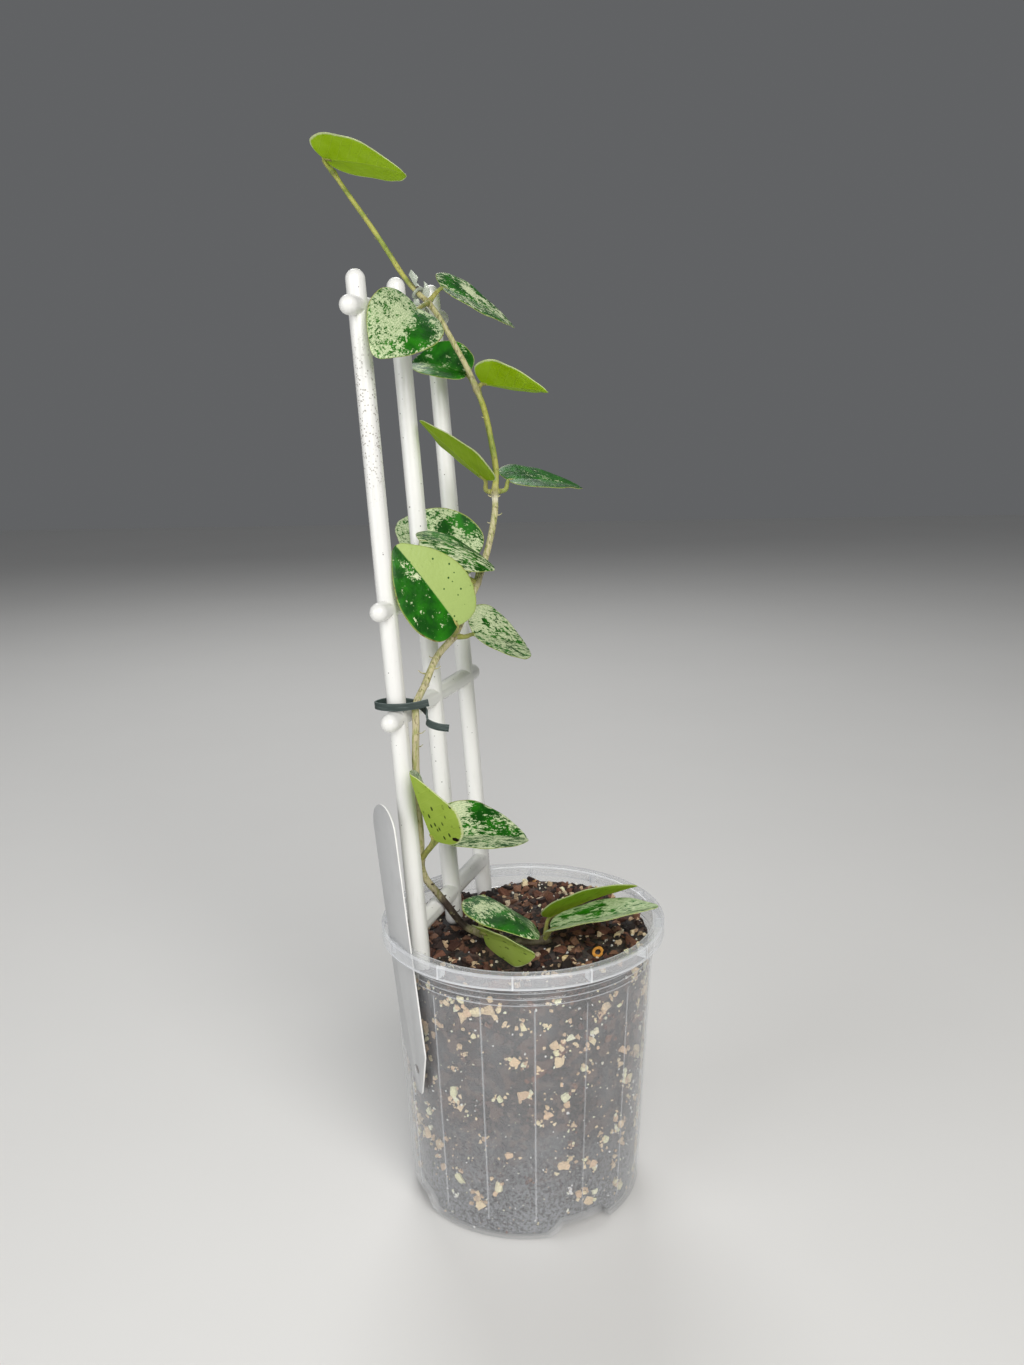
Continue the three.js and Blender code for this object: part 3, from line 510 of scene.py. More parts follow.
@dataclass(frozen=True)
class LeafUnder:
    """A leaf's underside: lime to olive green, with faint veins and dark dashes along the blade."""

    lime: tuple = (0.31, 0.52, 0.0)
    olive: tuple = (0.115, 0.19, 0.0)
    pale: tuple = (0.40, 0.50, 0.12)
    dash: tuple = (0.035, 0.06, 0.01)
    vein: tuple = (0.40, 0.54, 0.08)
    margin: tuple = (0.62, 0.68, 0.38)
    blotch: tuple = (0.012, 0.008, 0.004)

    def material(self) -> Finish:
        """Returns the material."""
        shade = Shader("leaf_under")
        along, across, edge = shade.layer("blade")
        bright, paleness, dashed = shade.layer("under")
        _, spot, _ = shade.layer("patch")
        _, _, seed = shade.layer("splash")
        even = shade.point(along, across, seed * 9.0)
        drawn = shade.point(along * 0.3, across, seed * 5.0)
        cloud = shade.noise(even, 8.0, 3.0)
        colour = shade.mix(bright + (cloud - 0.5) * 0.5, self.olive, self.lime)
        colour = shade.mix(paleness + (cloud - 0.5) * 0.4, colour, self.pale)
        dash = shade.cells(drawn, 1.7).step(0.33, 0.18) * shade.noise(even, 5.0).step(0.38, 0.50)
        colour = shade.mix(dash * dashed, colour, self.dash)
        slant = along - abs(across) * 0.9
        wave = shade.node("ShaderNodeMath", {"operation": "SINE"}, {0: slant * 1.15})
        ribs = wave.step(0.9, 1.0) * 0.14 + abs(across).step(0.8, 0.2) * 0.25
        colour = shade.mix(ribs, colour, self.vein)
        rim = (edge + (shade.noise(even, 1.2, 3.0) - 0.5) * 0.1).step(0.935, 0.97)
        colour = shade.mix(rim * 0.85, colour, self.margin)
        colour = shade.mix(spot.step(0.5, 0.8), colour, self.blotch)
        normal = shade.bump(cloud + ribs * 1.5 + shade.noise(even, 0.8, 3.0) * 0.3, 0.25)
        return shade.dressed(Base_Color=colour, Roughness=0.5 + cloud * 0.15,
                             Normal=normal, Specular_IOR_Level=0.03)


@dataclass(frozen=True)
class PaleFloor:
    """A plain pale studio floor with the faintest unevenness."""

    tone: tuple = (0.80, 0.795, 0.775)
    shade_tone: tuple = (0.76, 0.755, 0.735)

    def material(self) -> Finish:
        """Returns the material."""
        shade = Shader("pale_floor")
        cloud = shade.noise(shade.place(), 0.2, 3.0)
        return shade.dressed(Base_Color=shade.mix(cloud, self.tone, self.shade_tone), Roughness=0.55)


# ---- mesh helpers
@dataclass
class Form:
    """Points, faces and layers of one or more closed surfaces, in millimetres."""

    points: np.ndarray
    faces: list
    slots: Optional[list] = None
    layers: dict = field(default_factory=dict)


def together(forms: Sequence[Form]) -> Form:
    """Joins forms without merging any points.

    Args:
        forms: the forms, in order.

    Returns:
        All as one; a layer that one of them lacks is 0 there.
    """
    faces, slots, layers, shift = [], [], {}, 0
    for form in forms:
        faces.extend(tuple(i + shift for i in face) for face in form.faces)
        slots.extend(form.slots or [0] * len(form.faces))
        shift += len(form.points)
    for name in dict.fromkeys(name for form in forms for name in form.layers):
        parts = [form.layers.get(name, np.zeros((len(form.points), 3))) for form in forms]
        layers[name] = np.vstack(parts)
    return Form(np.vstack([form.points for form in forms]), faces, slots, layers)


def added(name: str, data: bpy.types.ID) -> Piece:
    """A new object, linked to the scene."""
    made = bpy.data.objects.new(name, data)
    bpy.context.scene.collection.objects.link(made)
    return made


def make_object(name: str, form: Form, finishes: Sequence[Finish], sharp: float = 40.0) -> Piece:
    """Makes a Blender object from a form.

    Args:
        name: the piece's name.
        form: its points and faces in millimetres.
        finishes: a material for each slot.
        sharp: edges that bend by more than this many degrees stay sharp.

    Returns:
        The object, linked to the scene.
    """
    mesh = bpy.data.meshes.new(name)
    mesh.from_pydata((form.points * MM).tolist(), [], form.faces)
    if form.slots:
        mesh.polygons.foreach_set("material_index", form.slots)
    for layer, values in form.layers.items():
        attribute = mesh.attributes.new(layer, "FLOAT_VECTOR", "POINT")
        attribute.data.foreach_set("vector", np.asarray(values, np.float32).ravel())
    work = bmesh.new()
    work.from_mesh(mesh)
    bmesh.ops.recalc_face_normals(work, faces=work.faces)
    work.to_mesh(mesh)
    work.free()
    for finish in finishes:
        mesh.materials.append(finish)
    made = added(name, mesh)
    smooth(made, sharp)
    return made


def smooth(made: Piece, sharp: float) -> None:
    """Shades an object smoothly, apart from edges that bend by more than sharp degrees."""
    made.data.shade_smooth()
    made.data.set_sharp_from_angle(angle=math.radians(sharp))


def settle(made: Piece) -> None:
    """Applies all of an object's modifiers."""
    graph = bpy.context.evaluated_depsgraph_get()
    mesh = bpy.data.meshes.new_from_object(made.evaluated_get(graph))
    made.modifiers.clear()
    made.data = mesh


class Cut(Enum):
    """How a second body changes the first."""

    ADD = "UNION"
    TAKE = "DIFFERENCE"
    KEEP = "INTERSECT"


def carve(made: Piece, form: Form, how: Cut) -> None:
    """Changes an object by what a form covers of it.

    Args:
        made: the object.
        form: the closed form.
        how: whether it is added, taken away or kept.
    """
    tool = make_object("tool", form, made.data.materials[:])
    boolean = made.modifiers.new("carve", "BOOLEAN")
    boolean.object = tool
    boolean.operation = how.value
    boolean.solver = "EXACT"
    settle(made)
    bpy.data.objects.remove(tool)


def mount_piece(made: Piece, slot: str, *nodes: str) -> Piece:
    """Rides a piece on the part's one body.

    Args:
        made: the piece.
        slot: the name of its finish's slot; not used.
        nodes: the CAD nodes that it stands for.

    Returns:
        The piece.
    """
    if nodes:
        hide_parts(*nodes)
    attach(made, ROOT)
    log.info("%s: %d faces", made.name, len(made.data.polygons))
    return made


def smooth_path(points: Sequence[Sequence[float]], spans: int = 24) -> np.ndarray:
    """A smooth curve through points, by centripetal Catmull-Rom spans.

    Args:
        points: the places that it passes through.
        spans: steps between two of them.

    Returns:
        The curve's points, evenly spaced along it and dense.
    """
    given = np.asarray(points, float)
    line = np.vstack([2 * given[0] - given[1], given, 2 * given[-1] - given[-2]])
    curve = [given[0]]
    for p0, p1, p2, p3 in zip(line, line[1:], line[2:], line[3:]):
        pairs = ((p0, p1), (p1, p2), (p2, p3))
        d0, d1, d2 = (max(np.linalg.norm(b - a), 1e-4) ** 0.5 for a, b in pairs)
        start = ((p1 - p0) / d0 - (p2 - p0) / (d0 + d1) + (p2 - p1) / d1) * d1
        end = ((p2 - p1) / d1 - (p3 - p1) / (d1 + d2) + (p3 - p2) / d2) * d1
        for t in np.linspace(0, 1, spans + 1)[1:]:
            curve.append(p1 + start * t + (3 * (p2 - p1) - 2 * start - end) * t ** 2
                         + (2 * (p1 - p2) + start + end) * t ** 3)
    return np.array(curve)


def evenly(curve: np.ndarray, count: int) -> np.ndarray:
    """Points at even distances along a curve."""
    lengths = np.concatenate([[0], np.cumsum(np.linalg.norm(np.diff(curve, axis=0), axis=1))])
    places = np.linspace(0, lengths[-1], count)
    return np.stack([np.interp(places, lengths, curve[:, axis]) for axis in range(3)], 1)


def tangents(path: np.ndarray) -> np.ndarray:
    """The unit direction of a path at each of its points."""
    tangent = np.gradient(path, axis=0)
    return tangent / np.linalg.norm(tangent, axis=1)[:, None]


def ride_frames(path: np.ndarray) -> tuple[np.ndarray, np.ndarray]:
    """Two directions across a path at each point, carried along it without twisting."""
    tangent = tangents(path)
    steep = abs(tangent[0][2]) > 0.9
    guess = np.array([1.0, 0.0, 0.0]) if steep else np.array([0.0, 0.0, 1.0])
    sides = []
    for along in tangent:
        guess = guess - along * (guess @ along)
        guess /= np.linalg.norm(guess)
        sides.append(guess)
    side = np.array(sides)
    return side, np.cross(tangent, side)


def skin(rings: int, sides: int) -> list:
    """The faces of a bar whose rings of points follow each other; its two ends come last."""
    faces = []
    for i in range(rings - 1):
        for j in range(sides):
            k = (j + 1) % sides
            faces.append((i * sides + j, i * sides + k, (i + 1) * sides + k, (i + 1) * sides + j))
    return faces + [tuple(range(sides))[::-1], tuple(range((rings - 1) * sides, rings * sides))]


def tube(path: np.ndarray, radii: np.ndarray, sides: int = 12, slot: int = 0) -> Form:
    """A closed round tube along a path.

    Args:
        path: its middle line.
        radii: its radius at each point, or at each point and side.
        sides: how many faces go round.
        slot: the material slot.

    Returns:
        The form.
    """
    one, two = ride_frames(path)
    angles = np.linspace(0, 2 * math.pi, sides, endpoint=False)
    reach = np.broadcast_to(np.asarray(radii, float).reshape(len(path), -1), (len(path), sides))
    ring = (np.cos(angles)[None, :, None] * one[:, None] + np.sin(angles)[None, :, None] * two[:, None])
    faces = skin(len(path), sides)
    return Form((path[:, None] + ring * reach[..., None]).reshape(-1, 3), faces, [slot] * len(faces))


def capsule(start: np.ndarray, end: np.ndarray, radius: float, sides: int, rings: int = 9) -> Form:
    """A round bar with half-ball ends.

    Args:
        start: the centre of one half ball.
        end: the centre of the other.
        radius: the bar's radius.
        sides: how many faces go round.
        rings: how many rings each half ball has.

    Returns:
        The form.
    """
    along = (end - start) / np.linalg.norm(end - start)
    turn = np.linspace(0, math.pi / 2, rings)
    low = [start - along * radius * math.cos(a) for a in turn]
    high = [end + along * radius * math.sin(a) for a in turn]
    radii = [radius * math.sin(a) for a in turn] + [radius * math.cos(a) for a in turn]
    return tube(np.array(low + high), np.maximum(radii, 0.02), sides)


def lathe(profile: Outline, angles: np.ndarray, swell: Union[float, np.ndarray] = 0.0) -> Form:
    """A profile turned round the Z axis and closed at both of its ends on the axis, or on itself.

    Args:
        profile: (radius, height) pairs.
        angles: the turn's steps, in radians.
        swell: how far each point moves outwards, with a row for each profile point.

    Returns:
        The form.
    """
    count = len(angles)
    points, rows = [], []
    for (radius, height), more in zip(profile, np.broadcast_to(swell, (len(profile), count))):
        if radius == 0:
            rows.append([len(points)] * count)
            points.append((0.0, 0.0, height))
            continue
        out = radius + more
        rows.append(list(range(len(points), len(points) + count)))
        points.extend(zip(out * np.cos(angles), out * np.sin(angles), np.full(count, height)))
    faces = []
    for low, high in zip(rows, rows[1:]):
        for j in range(count):
            k = (j + 1) % count
            corners = list(dict.fromkeys((low[j], low[k], high[k], high[j])))
            if len(corners) > 2:
                faces.append(tuple(corners))
    return Form(np.array(points), faces)


def prism(outline: Outline, low: float, high: float, place: Matrix) -> Form:
    """A flat outline in X and Y, drawn out along Z.

    Args:
        outline: its corners.
        low: where it starts.
        high: where it ends.
        place: where it is put after that.

    Returns:
        The form.
    """
    count = len(outline)
    flat = [(x, y, z) for z in (low, high) for x, y in outline]
    points = np.array([place @ Vector(p) for p in flat])
    faces = [tuple(range(count))[::-1], tuple(range(count, 2 * count))]
    faces += [(i, (i + 1) % count, (i + 1) % count + count, i + count) for i in range(count)]
    return Form(points, faces)


def bevelled(made: Piece, width: float, angle: float = 50.0) -> None:
    """Rounds an object's sharp edges.

    Args:
        made: the object.
        width: how wide the rounding is, in millimetres.
        angle: edges that bend by less, in degrees, stay as they are.
    """
    bevel = made.modifiers.new("round", "BEVEL")
    bevel.width = width * MM
    bevel.segments = 2
    bevel.limit_method = "ANGLE"
    bevel.angle_limit = math.radians(angle)
    settle(made)
    smooth(made, angle)


def arc(centre: tuple[float, float], radius: float, start: float, end: float, steps: int) -> list:
    """Points of a flat arc; the angles are in degrees."""
    turn = np.radians(np.linspace(start, end, steps))
    return [(centre[0] + radius * math.cos(a), centre[1] + radius * math.sin(a)) for a in turn]


def turned(azimuth: float) -> Matrix:
    """A turn about the upright axis, in degrees."""
    return Matrix.Rotation(math.radians(azimuth), 4, "Z")


def apart(one: Angles, other: Angles, whole: float = 360.0) -> Angles:
    """How far a direction is turned past another, from minus half a turn to half a turn."""
    return (one - other + whole / 2) % whole - whole / 2


def from_nearest(angles: np.ndarray, marks: np.ndarray) -> np.ndarray:
    """How far each angle is from the nearest mark, all in radians."""
    return np.abs(apart(angles[:, None], marks[None], 2 * math.pi)).min(1)


# ---- the clear pot
@dataclass
class NurseryPot:
    """The clear pot: wall with ribs and rings, flange, skirt and webs, and notches round its foot.

    The fields that end in milk or highlight make the plastic whiter at ribs, rings and rim: partly
    milkier thick plastic, partly painted highlight for the glow of its edges and webs.
    """

    height: float = 123.4
    rim: float = 60.0
    skirt_drop: float = 5.9
    skirt: float = 0.9
    flange: float = 1.1
    wall_foot: float = 49.25
    wall_slope: float = 0.054
    wall: float = 0.9
    floor: float = 1.0
    contact: float = 46.2
    corner: float = 4.0
    ring_heights: tuple = (109.0, 111.6, 114.2)
    ring_profile: tuple = ((-0.7, 0), (-0.35, 0.7), (0, 1), (0.35, 0.7), (0.7, 0))
    proud: float = 0.35
    rib_count: int = 16
    rib_first: float = -63.6
    rib_width: float = 1.2
    rib_reach: tuple = (9.5, 107.5)
    rib_end: float = 0.8
    web_count: int = 12
    web_first: float = -94.5
    web: float = 0.9
    web_drop: float = 4.6
    sunk: float = 0.45
    fillet: float = 0.8
    edge_round: float = 0.6
    lip_round: float = 0.5
    skirt_round: float = 0.2
    notches: tuple = (-61.4, -160.0, 118.6, 20.0)
    notch_low: float = 31.0
    notch_high: float = 18.5
    notch_height: float = 7.0
    notch_inner: float = 34.0
    notch_below: float = 3.0
    shell_inset: tuple = (0.2, 0.15)
    shell_top: float = 20.0
    drain: tuple = (41.0, 2.6)
    drain_cut: tuple = (4.0, 12.0)
    segments: int = 180
    sharp: float = 30.0
    rib_milk: float = 0.6
    ring_milk: float = 0.9
    rim_milk: float = 0.2
    # The skirt's foot, the rim's edges and the webs are painted whiter, a painted highlight for their
    # glow.
    skirt_foot_painted_highlight: float = 1.0
    edge_painted_highlight: float = 0.75
    web_milk_and_painted_highlight: float = 1.2

    def wall_at(self, z: float) -> float:
        """The wall's outer radius at a height."""
        return self.wall_foot + self.wall_slope * z

    def inside_at(self, z: float) -> float:
        """The wall's inner radius at a height."""
        return self.wall_at(z) - self.wall

    @staticmethod
    def _marks(first: float, count: int) -> np.ndarray:
        """Evenly spread directions in radians; the first is given in degrees."""
        return np.radians(first + 360 / count * np.arange(count))

    def _angles(self) -> np.ndarray:
        """The steps round the pot, with three at each rib and each web."""
        ribs = self._marks(self.rib_first, self.rib_count)
        marks = np.concatenate([ribs, self._marks(self.web_first, self.web_count)])
        half = self.rib_width / 2 / self.wall_at(self.height / 2)
        plain = np.linspace(0, 2 * math.pi, self.segments, endpoint=False)
        clear = from_nearest(plain, marks) > 1.6 * half
        steps = np.concatenate([plain[clear], *(marks + k * half for k in (-1, 0, 1))])
        return np.sort(steps % (2 * math.pi))

    def _outer(self) -> list[tuple[float, float]]:
        """The outer profile, from the middle of the underside to the flange's underside."""
        corner = [(0, 0), (self.contact, 0)]
        reach = self.wall_at(self.corner) - self.contact
        for turn in np.radians([20, 40, 60, 80]):
            corner.append((self.contact + reach * math.sin(turn), self.corner * (1 - math.cos(turn))))
        (low, high), end = self.rib_reach, self.rib_end
        heights = [self.corner, low, low + end, *np.linspace(low, high, 7)[1:-1], high - end, high]
        wall = [(self.wall_at(z), z) for z in heights]
        for z in self.ring_heights:
            for step, out in self.ring_profile:
                wall.append((self.wall_at(z + step) + self.proud * out, z + step))
        return corner + wall

    def _lip(self) -> list[tuple[float, float]]:
        """The flange and its hanging skirt, round to the top of the inner face."""
        under, top, foot = self.height - self.flange, self.height, self.height - self.skirt_drop
        back, rim, inner = self.rim - self.skirt, self.rim, self.inside_at(top)
        fillet, small = self.fillet, self.skirt_round
        edge = arc((rim - self.edge_round, top - self.edge_round), self.edge_round, 0, 90, 5)
        lip = arc((inner + self.lip_round, top - self.lip_round), self.lip_round, 90, 180, 5)
        start = [(self.wall_at(under - fillet), under - fillet), (self.wall_at(under) + fillet, under)]
        skirt = [(back, under), (back, under - 0.6), (back, foot + 0.8), (back, foot + small),
                 (back + small, foot), (rim - small, foot), (rim, foot + small), (rim, foot + 0.7),
                 (rim, top - 1.2)]
        return [*start, *skirt, *edge, (rim - 1.1, top), (inner + 1.0, top), *lip, (inner, top - 0.9)]

    def _inner(self) -> list[tuple[float, float]]:
        """The inner face, from below the lip down to the middle of the floor."""
        heights = np.linspace(self.height - self.skirt_drop, self.corner, 8)
        wall = [(self.inside_at(z), z) for z in heights]
        floor = [(self.contact + 1.6, self.floor + 1.2), (self.contact, self.floor), (0, self.floor)]
        return wall + floor

    def _notch(self, azimuth: float, grown: float) -> Form:
        """A wedge-shaped notch under the pot's edge.

        Args:
            azimuth: its direction, in degrees.
            grown: how much larger it is all round.

        Returns:
            The space that it takes.
        """
        below = -self.notch_below
        flare = (self.notch_low - self.notch_high) / 2 / self.notch_height
        sideways = grown * math.hypot(1, flare)
        low = self.notch_low / 2 - flare * below + sideways
        high = self.notch_high / 2 - flare * grown + sideways
        top = self.notch_height + grown
        outline = [(-low, below), (low, below), (high, top), (-high, top)]
        stand = Matrix(((0, 0, 1, 0), (1, 0, 0, 0), (0, 1, 0, 0), (0, 0, 0, 1)))
        return prism(outline, self.notch_inner - grown, self.rim, turned(azimuth) @ stand)

    def _web(self, azimuth: float) -> Form:
        """A thin plate between the skirt and the wall."""
        inner, outer = self.wall_at(self.height) - self.sunk, self.rim - self.skirt / 2
        top = self.height - self.flange / 2
        half = self.web / 2
        outline = [(inner, -half), (outer, -half), (outer, half), (inner, half)]
        web = prism(outline, top - self.web_drop, top, turned(azimuth))
        web.slots = [1] * len(web.faces)
        return web

    def _drain(self, azimuth: float) -> Form:
        """A drain hole through a notch's roof."""
        reach, radius = self.drain
        return prism(arc((reach, 0), radius, 0, 345, 24), *self.drain_cut, turned(azimuth))

    def _notch_shells(self, outer: list, angles: np.ndarray) -> Form:
        """The plastic round the notches, cut off just inside the pot's outer face."""
        grown = together([self._notch(azimuth, self.floor) for azimuth in self.notches])
        shells = make_object("notch_shells", grown, [])
        aside, above = self.shell_inset
        low = [(max(r - aside, 0), max(z, above)) for r, z in outer if z < self.shell_top]
        carve(shells, lathe([*low, (0, self.shell_top)], angles), Cut.KEEP)
        form = Form(np.array([v.co / MM for v in shells.data.vertices]),
                    [tuple(p.vertices) for p in shells.data.polygons])
        bpy.data.objects.remove(shells)
        return form

    def _lines(self, made: Piece) -> None:
        """Marks how milky each point is: pale lines at ribs, rings and rim, partly milkier plastic and
        partly painted highlight.
        """
        spots = np.array([v.co / MM for v in made.data.vertices])
        reach, height = np.hypot(spots[:, 0], spots[:, 1]), spots[:, 2]
        azimuth = np.degrees(np.arctan2(spots[:, 1], spots[:, 0]))
        beyond = reach - self.wall_at(height)
        top, skirt_foot = self.height, self.height - self.skirt_drop
        at_rib = np.abs(apart(azimuth, self.rib_first, 360 / self.rib_count)) < 0.2
        at_ring = np.abs(height[:, None] - np.array(self.ring_heights)).min(1) < 0.1
        at_web = np.abs(apart(azimuth, self.web_first, 360 / self.web_count)) < 0.4
        skirt = (reach > self.rim - self.skirt - 0.1) & (height > skirt_foot - 0.1)
        brow = (reach > self.rim - 0.62) & (height > top - 0.62)
        lip = (reach < self.inside_at(top) + self.lip_round) & (height > top - 0.6)
        line = np.zeros(len(spots))
        # Pale lines: at the skirt's foot, brow, lip and webs they are painted highlight.
        for where, milk in ((at_rib & (beyond > 0.2) & (beyond < 0.6), self.rib_milk),
                            (at_ring & (beyond > 0.2), self.ring_milk),
                            (skirt | (height > top - self.flange - 0.05), self.rim_milk),
                            (skirt & (height < skirt_foot + 0.25), self.skirt_foot_painted_highlight),
                            (brow | lip, self.edge_painted_highlight),
                            (skirt & at_web, self.web_milk_and_painted_highlight)):
            line = np.maximum(line, np.where(where, milk, 0))
        attribute = made.data.attributes.new("line", "FLOAT_VECTOR", "POINT")
        attribute.data.foreach_set("vector", np.repeat(line, 3).astype(np.float32))

    def build(self, finish: Finish, milky: Finish, label_slot: Form) -> Piece:
        """Makes the pot.

        Args:
            finish: its plastic.
            milky: the same plastic where it is thick and looks whiter, in the webs.
            label_slot: the slot that the label passes through.

        Returns:
            The pot.
        """
        outer, angles = self._outer(), self._angles()
        ribs = self._marks(self.rib_first, self.rib_count)
        low, high = self.rib_reach
        profile = outer + self._lip() + self._inner()
        swell = np.zeros((len(profile), len(angles)))
        ribbed = [number for number, (_, z) in enumerate(outer) if low < z < high]
        swell[ribbed] = np.where(from_nearest(angles, ribs) < 1e-6, self.proud, 0.0)
        pot = make_object("pot_shell", lathe(profile, angles, swell), [finish, milky], self.sharp)
        webs = [self.web_first + 360 / self.web_count * i for i in range(self.web_count)]
        carve(pot, self._notch_shells(outer, angles), Cut.ADD)
        carve(pot, together([self._web(azimuth) for azimuth in webs]), Cut.ADD)
        carve(pot, together([self._notch(azimuth, 0.0) for azimuth in self.notches]), Cut.TAKE)
        carve(pot, together([self._drain(azimuth) for azimuth in self.notches]), Cut.TAKE)
        carve(pot, label_slot, Cut.TAKE)
        smooth(pot, self.sharp)
        self._lines(pot)
        return mount_piece(pot, "pot_plastic", "pot")


# ---- the trellis
@dataclass
class LadderTrellis:
    """The one-piece white ladder: three poles, three rungs whose ends stand out, and a low rung."""

    foot: tuple = (-41.4, -28.3, 113.0)
    lean: tuple = (-0.068, 0.083, 1.0)
    azimuth: float = 72.3
    spacing: float = 39.4
    pole: float = 3.775
    rung: float = 3.75
    starts: tuple = (6.0, 5.8, 6.0)
    top: float = 275.0
    leg_length: float = 22.0
    leg_tip: float = 1.5
    rungs: tuple = (261.3, 146.3, 103.0)
    overhang: tuple = (8.0, 9.0)
    low_rung: float = 17.5
    sides: int = 40
    sharp: float = 30.0

    def along(self) -> np.ndarray:
        """The rungs' direction."""
        turn = math.radians(self.azimuth)
        return np.array([math.cos(turn), math.sin(turn), 0.0])

    def up(self) -> np.ndarray:
        """The poles' direction."""
        return np.array(self.lean) / np.linalg.norm(self.lean)

    def at(self, along: float, up: float) -> np.ndarray:
        """A point so far along the rungs from the left pole, and so far up the poles."""
        return np.array(self.foot) + self.along() * along + self.up() * up

    def _leg(self, along: float) -> Form:
        """A pole's end in the mix, narrowed to a blunt point."""
        path = np.array([self.at(along, up) for up in np.linspace(-self.leg_length, self.starts[0], 12)])
        return tube(path, np.linspace(self.leg_tip, self.pole, len(path)), self.sides)

    def _bar(self, start: tuple[float, float], end: tuple[float, float], radius: float) -> Form:
        """A pole or rung between two places, each so far along the rungs and up the poles."""
        return capsule(self.at(*start), self.at(*end), radius, self.sides)

    def build(self, finish: Finish) -> Piece:
        """Makes the trellis as one joined body."""
        width = 2 * self.spacing
        left, right = -self.overhang[0], width + self.overhang[1]
        bars = []
        for number, low in enumerate(self.starts):
            along = number * self.spacing
            bars.append(self._bar((along, low), (along, self.top - self.pole), self.pole))
        bars += [self._bar((left, height), (right, height), self.rung) for height in self.rungs]
        bars.append(self._bar((0, self.low_rung), (width, self.low_rung), self.rung))
        bars += [self._leg(0.0), self._leg(width)]
        ladder = make_object("trellis_ladder", bars[0], [finish])
        for bar in bars[1:]:
            carve(ladder, bar, Cut.ADD)
        smooth(ladder, self.sharp)
        return mount_piece(ladder, "trellis_plastic", "trellis")


# ---- the label
@dataclass
class PlantLabel:
    """The flat tag with a rounded top, a tapered foot and a small hole, pushed through the rim."""

    azimuth: float = -150.5
    radius: float = 57.35
    width: float = 21.0
    thickness: float = 0.7
    lean: float = 3.05
    tilt: float = -6.6
    above: float = 58.3
    below: float = 64.5
    taper: float = 19.0
    foot: float = 5.0
    hole: float = 2.0
    hole_above: float = 10.5
    slot_height: float = 16.0
    gap: float = 0.3
    rim_height: float = 123.4
    foot_corner: float = 1.0
    taper_corner: float = 2.0
    edge_round: float = 0.14

    def _place(self) -> Matrix:
        """Where the tag's middle at the rim is, its width along X and its length along Y."""
        turn = math.radians(self.azimuth)
        out = Vector((math.cos(turn), math.sin(turn), 0))
        side = Vector((-math.sin(turn), math.cos(turn), 0))
        up = Vector((0, 0, 1)) + out * math.tan(math.radians(self.lean))
        up = (up + side * math.tan(math.radians(self.tilt))).normalized()
        across = (side - up * side.dot(up)).normalized()
        place = Matrix((across, up, across.cross(up))).transposed().to_4x4()
        return Matrix.Translation(out * self.radius + Vector((0, 0, self.rim_height))) @ place

    def slot(self) -> Form:
        """The space that it needs through the rim."""
        half, high = self.width / 2 + self.gap, self.slot_height / 2
        deep = self.thickness / 2 + self.gap
        corners = [(-half, -high), (half, -high), (half, high), (-half, high)]
        return prism(corners, -deep, deep, self._place())

    def build(self, finish: Finish, rim: Finish) -> Piece:
        """Makes the tag.

        Args:
            finish: its faces' plastic.
            rim: the plastic of its cut edge, painted much lighter than the faces as a highlight.

        Returns:
            The tag.
        """
        half, foot, low, corner = self.width / 2, self.foot / 2, -self.below, self.foot_corner
        shoulder = low + self.taper
        straight = shoulder + self.taper_corner
        outline = [(-foot, low + corner), (-foot + corner, low), (foot - corner, low),
                   (foot, low + corner), (half, shoulder), (half, straight),
                   *arc((0, self.above - half), half, 0, 180, 33),
                   (-half, straight), (-half, shoulder)]
        sheet = prism(outline, -self.thickness / 2, self.thickness / 2, self._place())
        # The cut edge's sides take the lighter finish, a painted highlight.
        sheet.slots = [0, 0] + [1] * len(outline)
        tag = make_object("label_tag", sheet, [finish, rim])
        hole = arc((0, low + self.hole_above), self.hole, 0, 345, 24)
        carve(tag, prism(hole, -2, 2, self._place()), Cut.TAKE)
        bevelled(tag, self.edge_round)
        return mount_piece(tag, "label_plastic", "plant_label")


# ---- the vine
@dataclass(frozen=True)
class Root:
    """A small aerial root: where it leaves the vine, which way, how long and how thick."""

    height: float
    turn: float
    length: float
    radius: float = 0.28


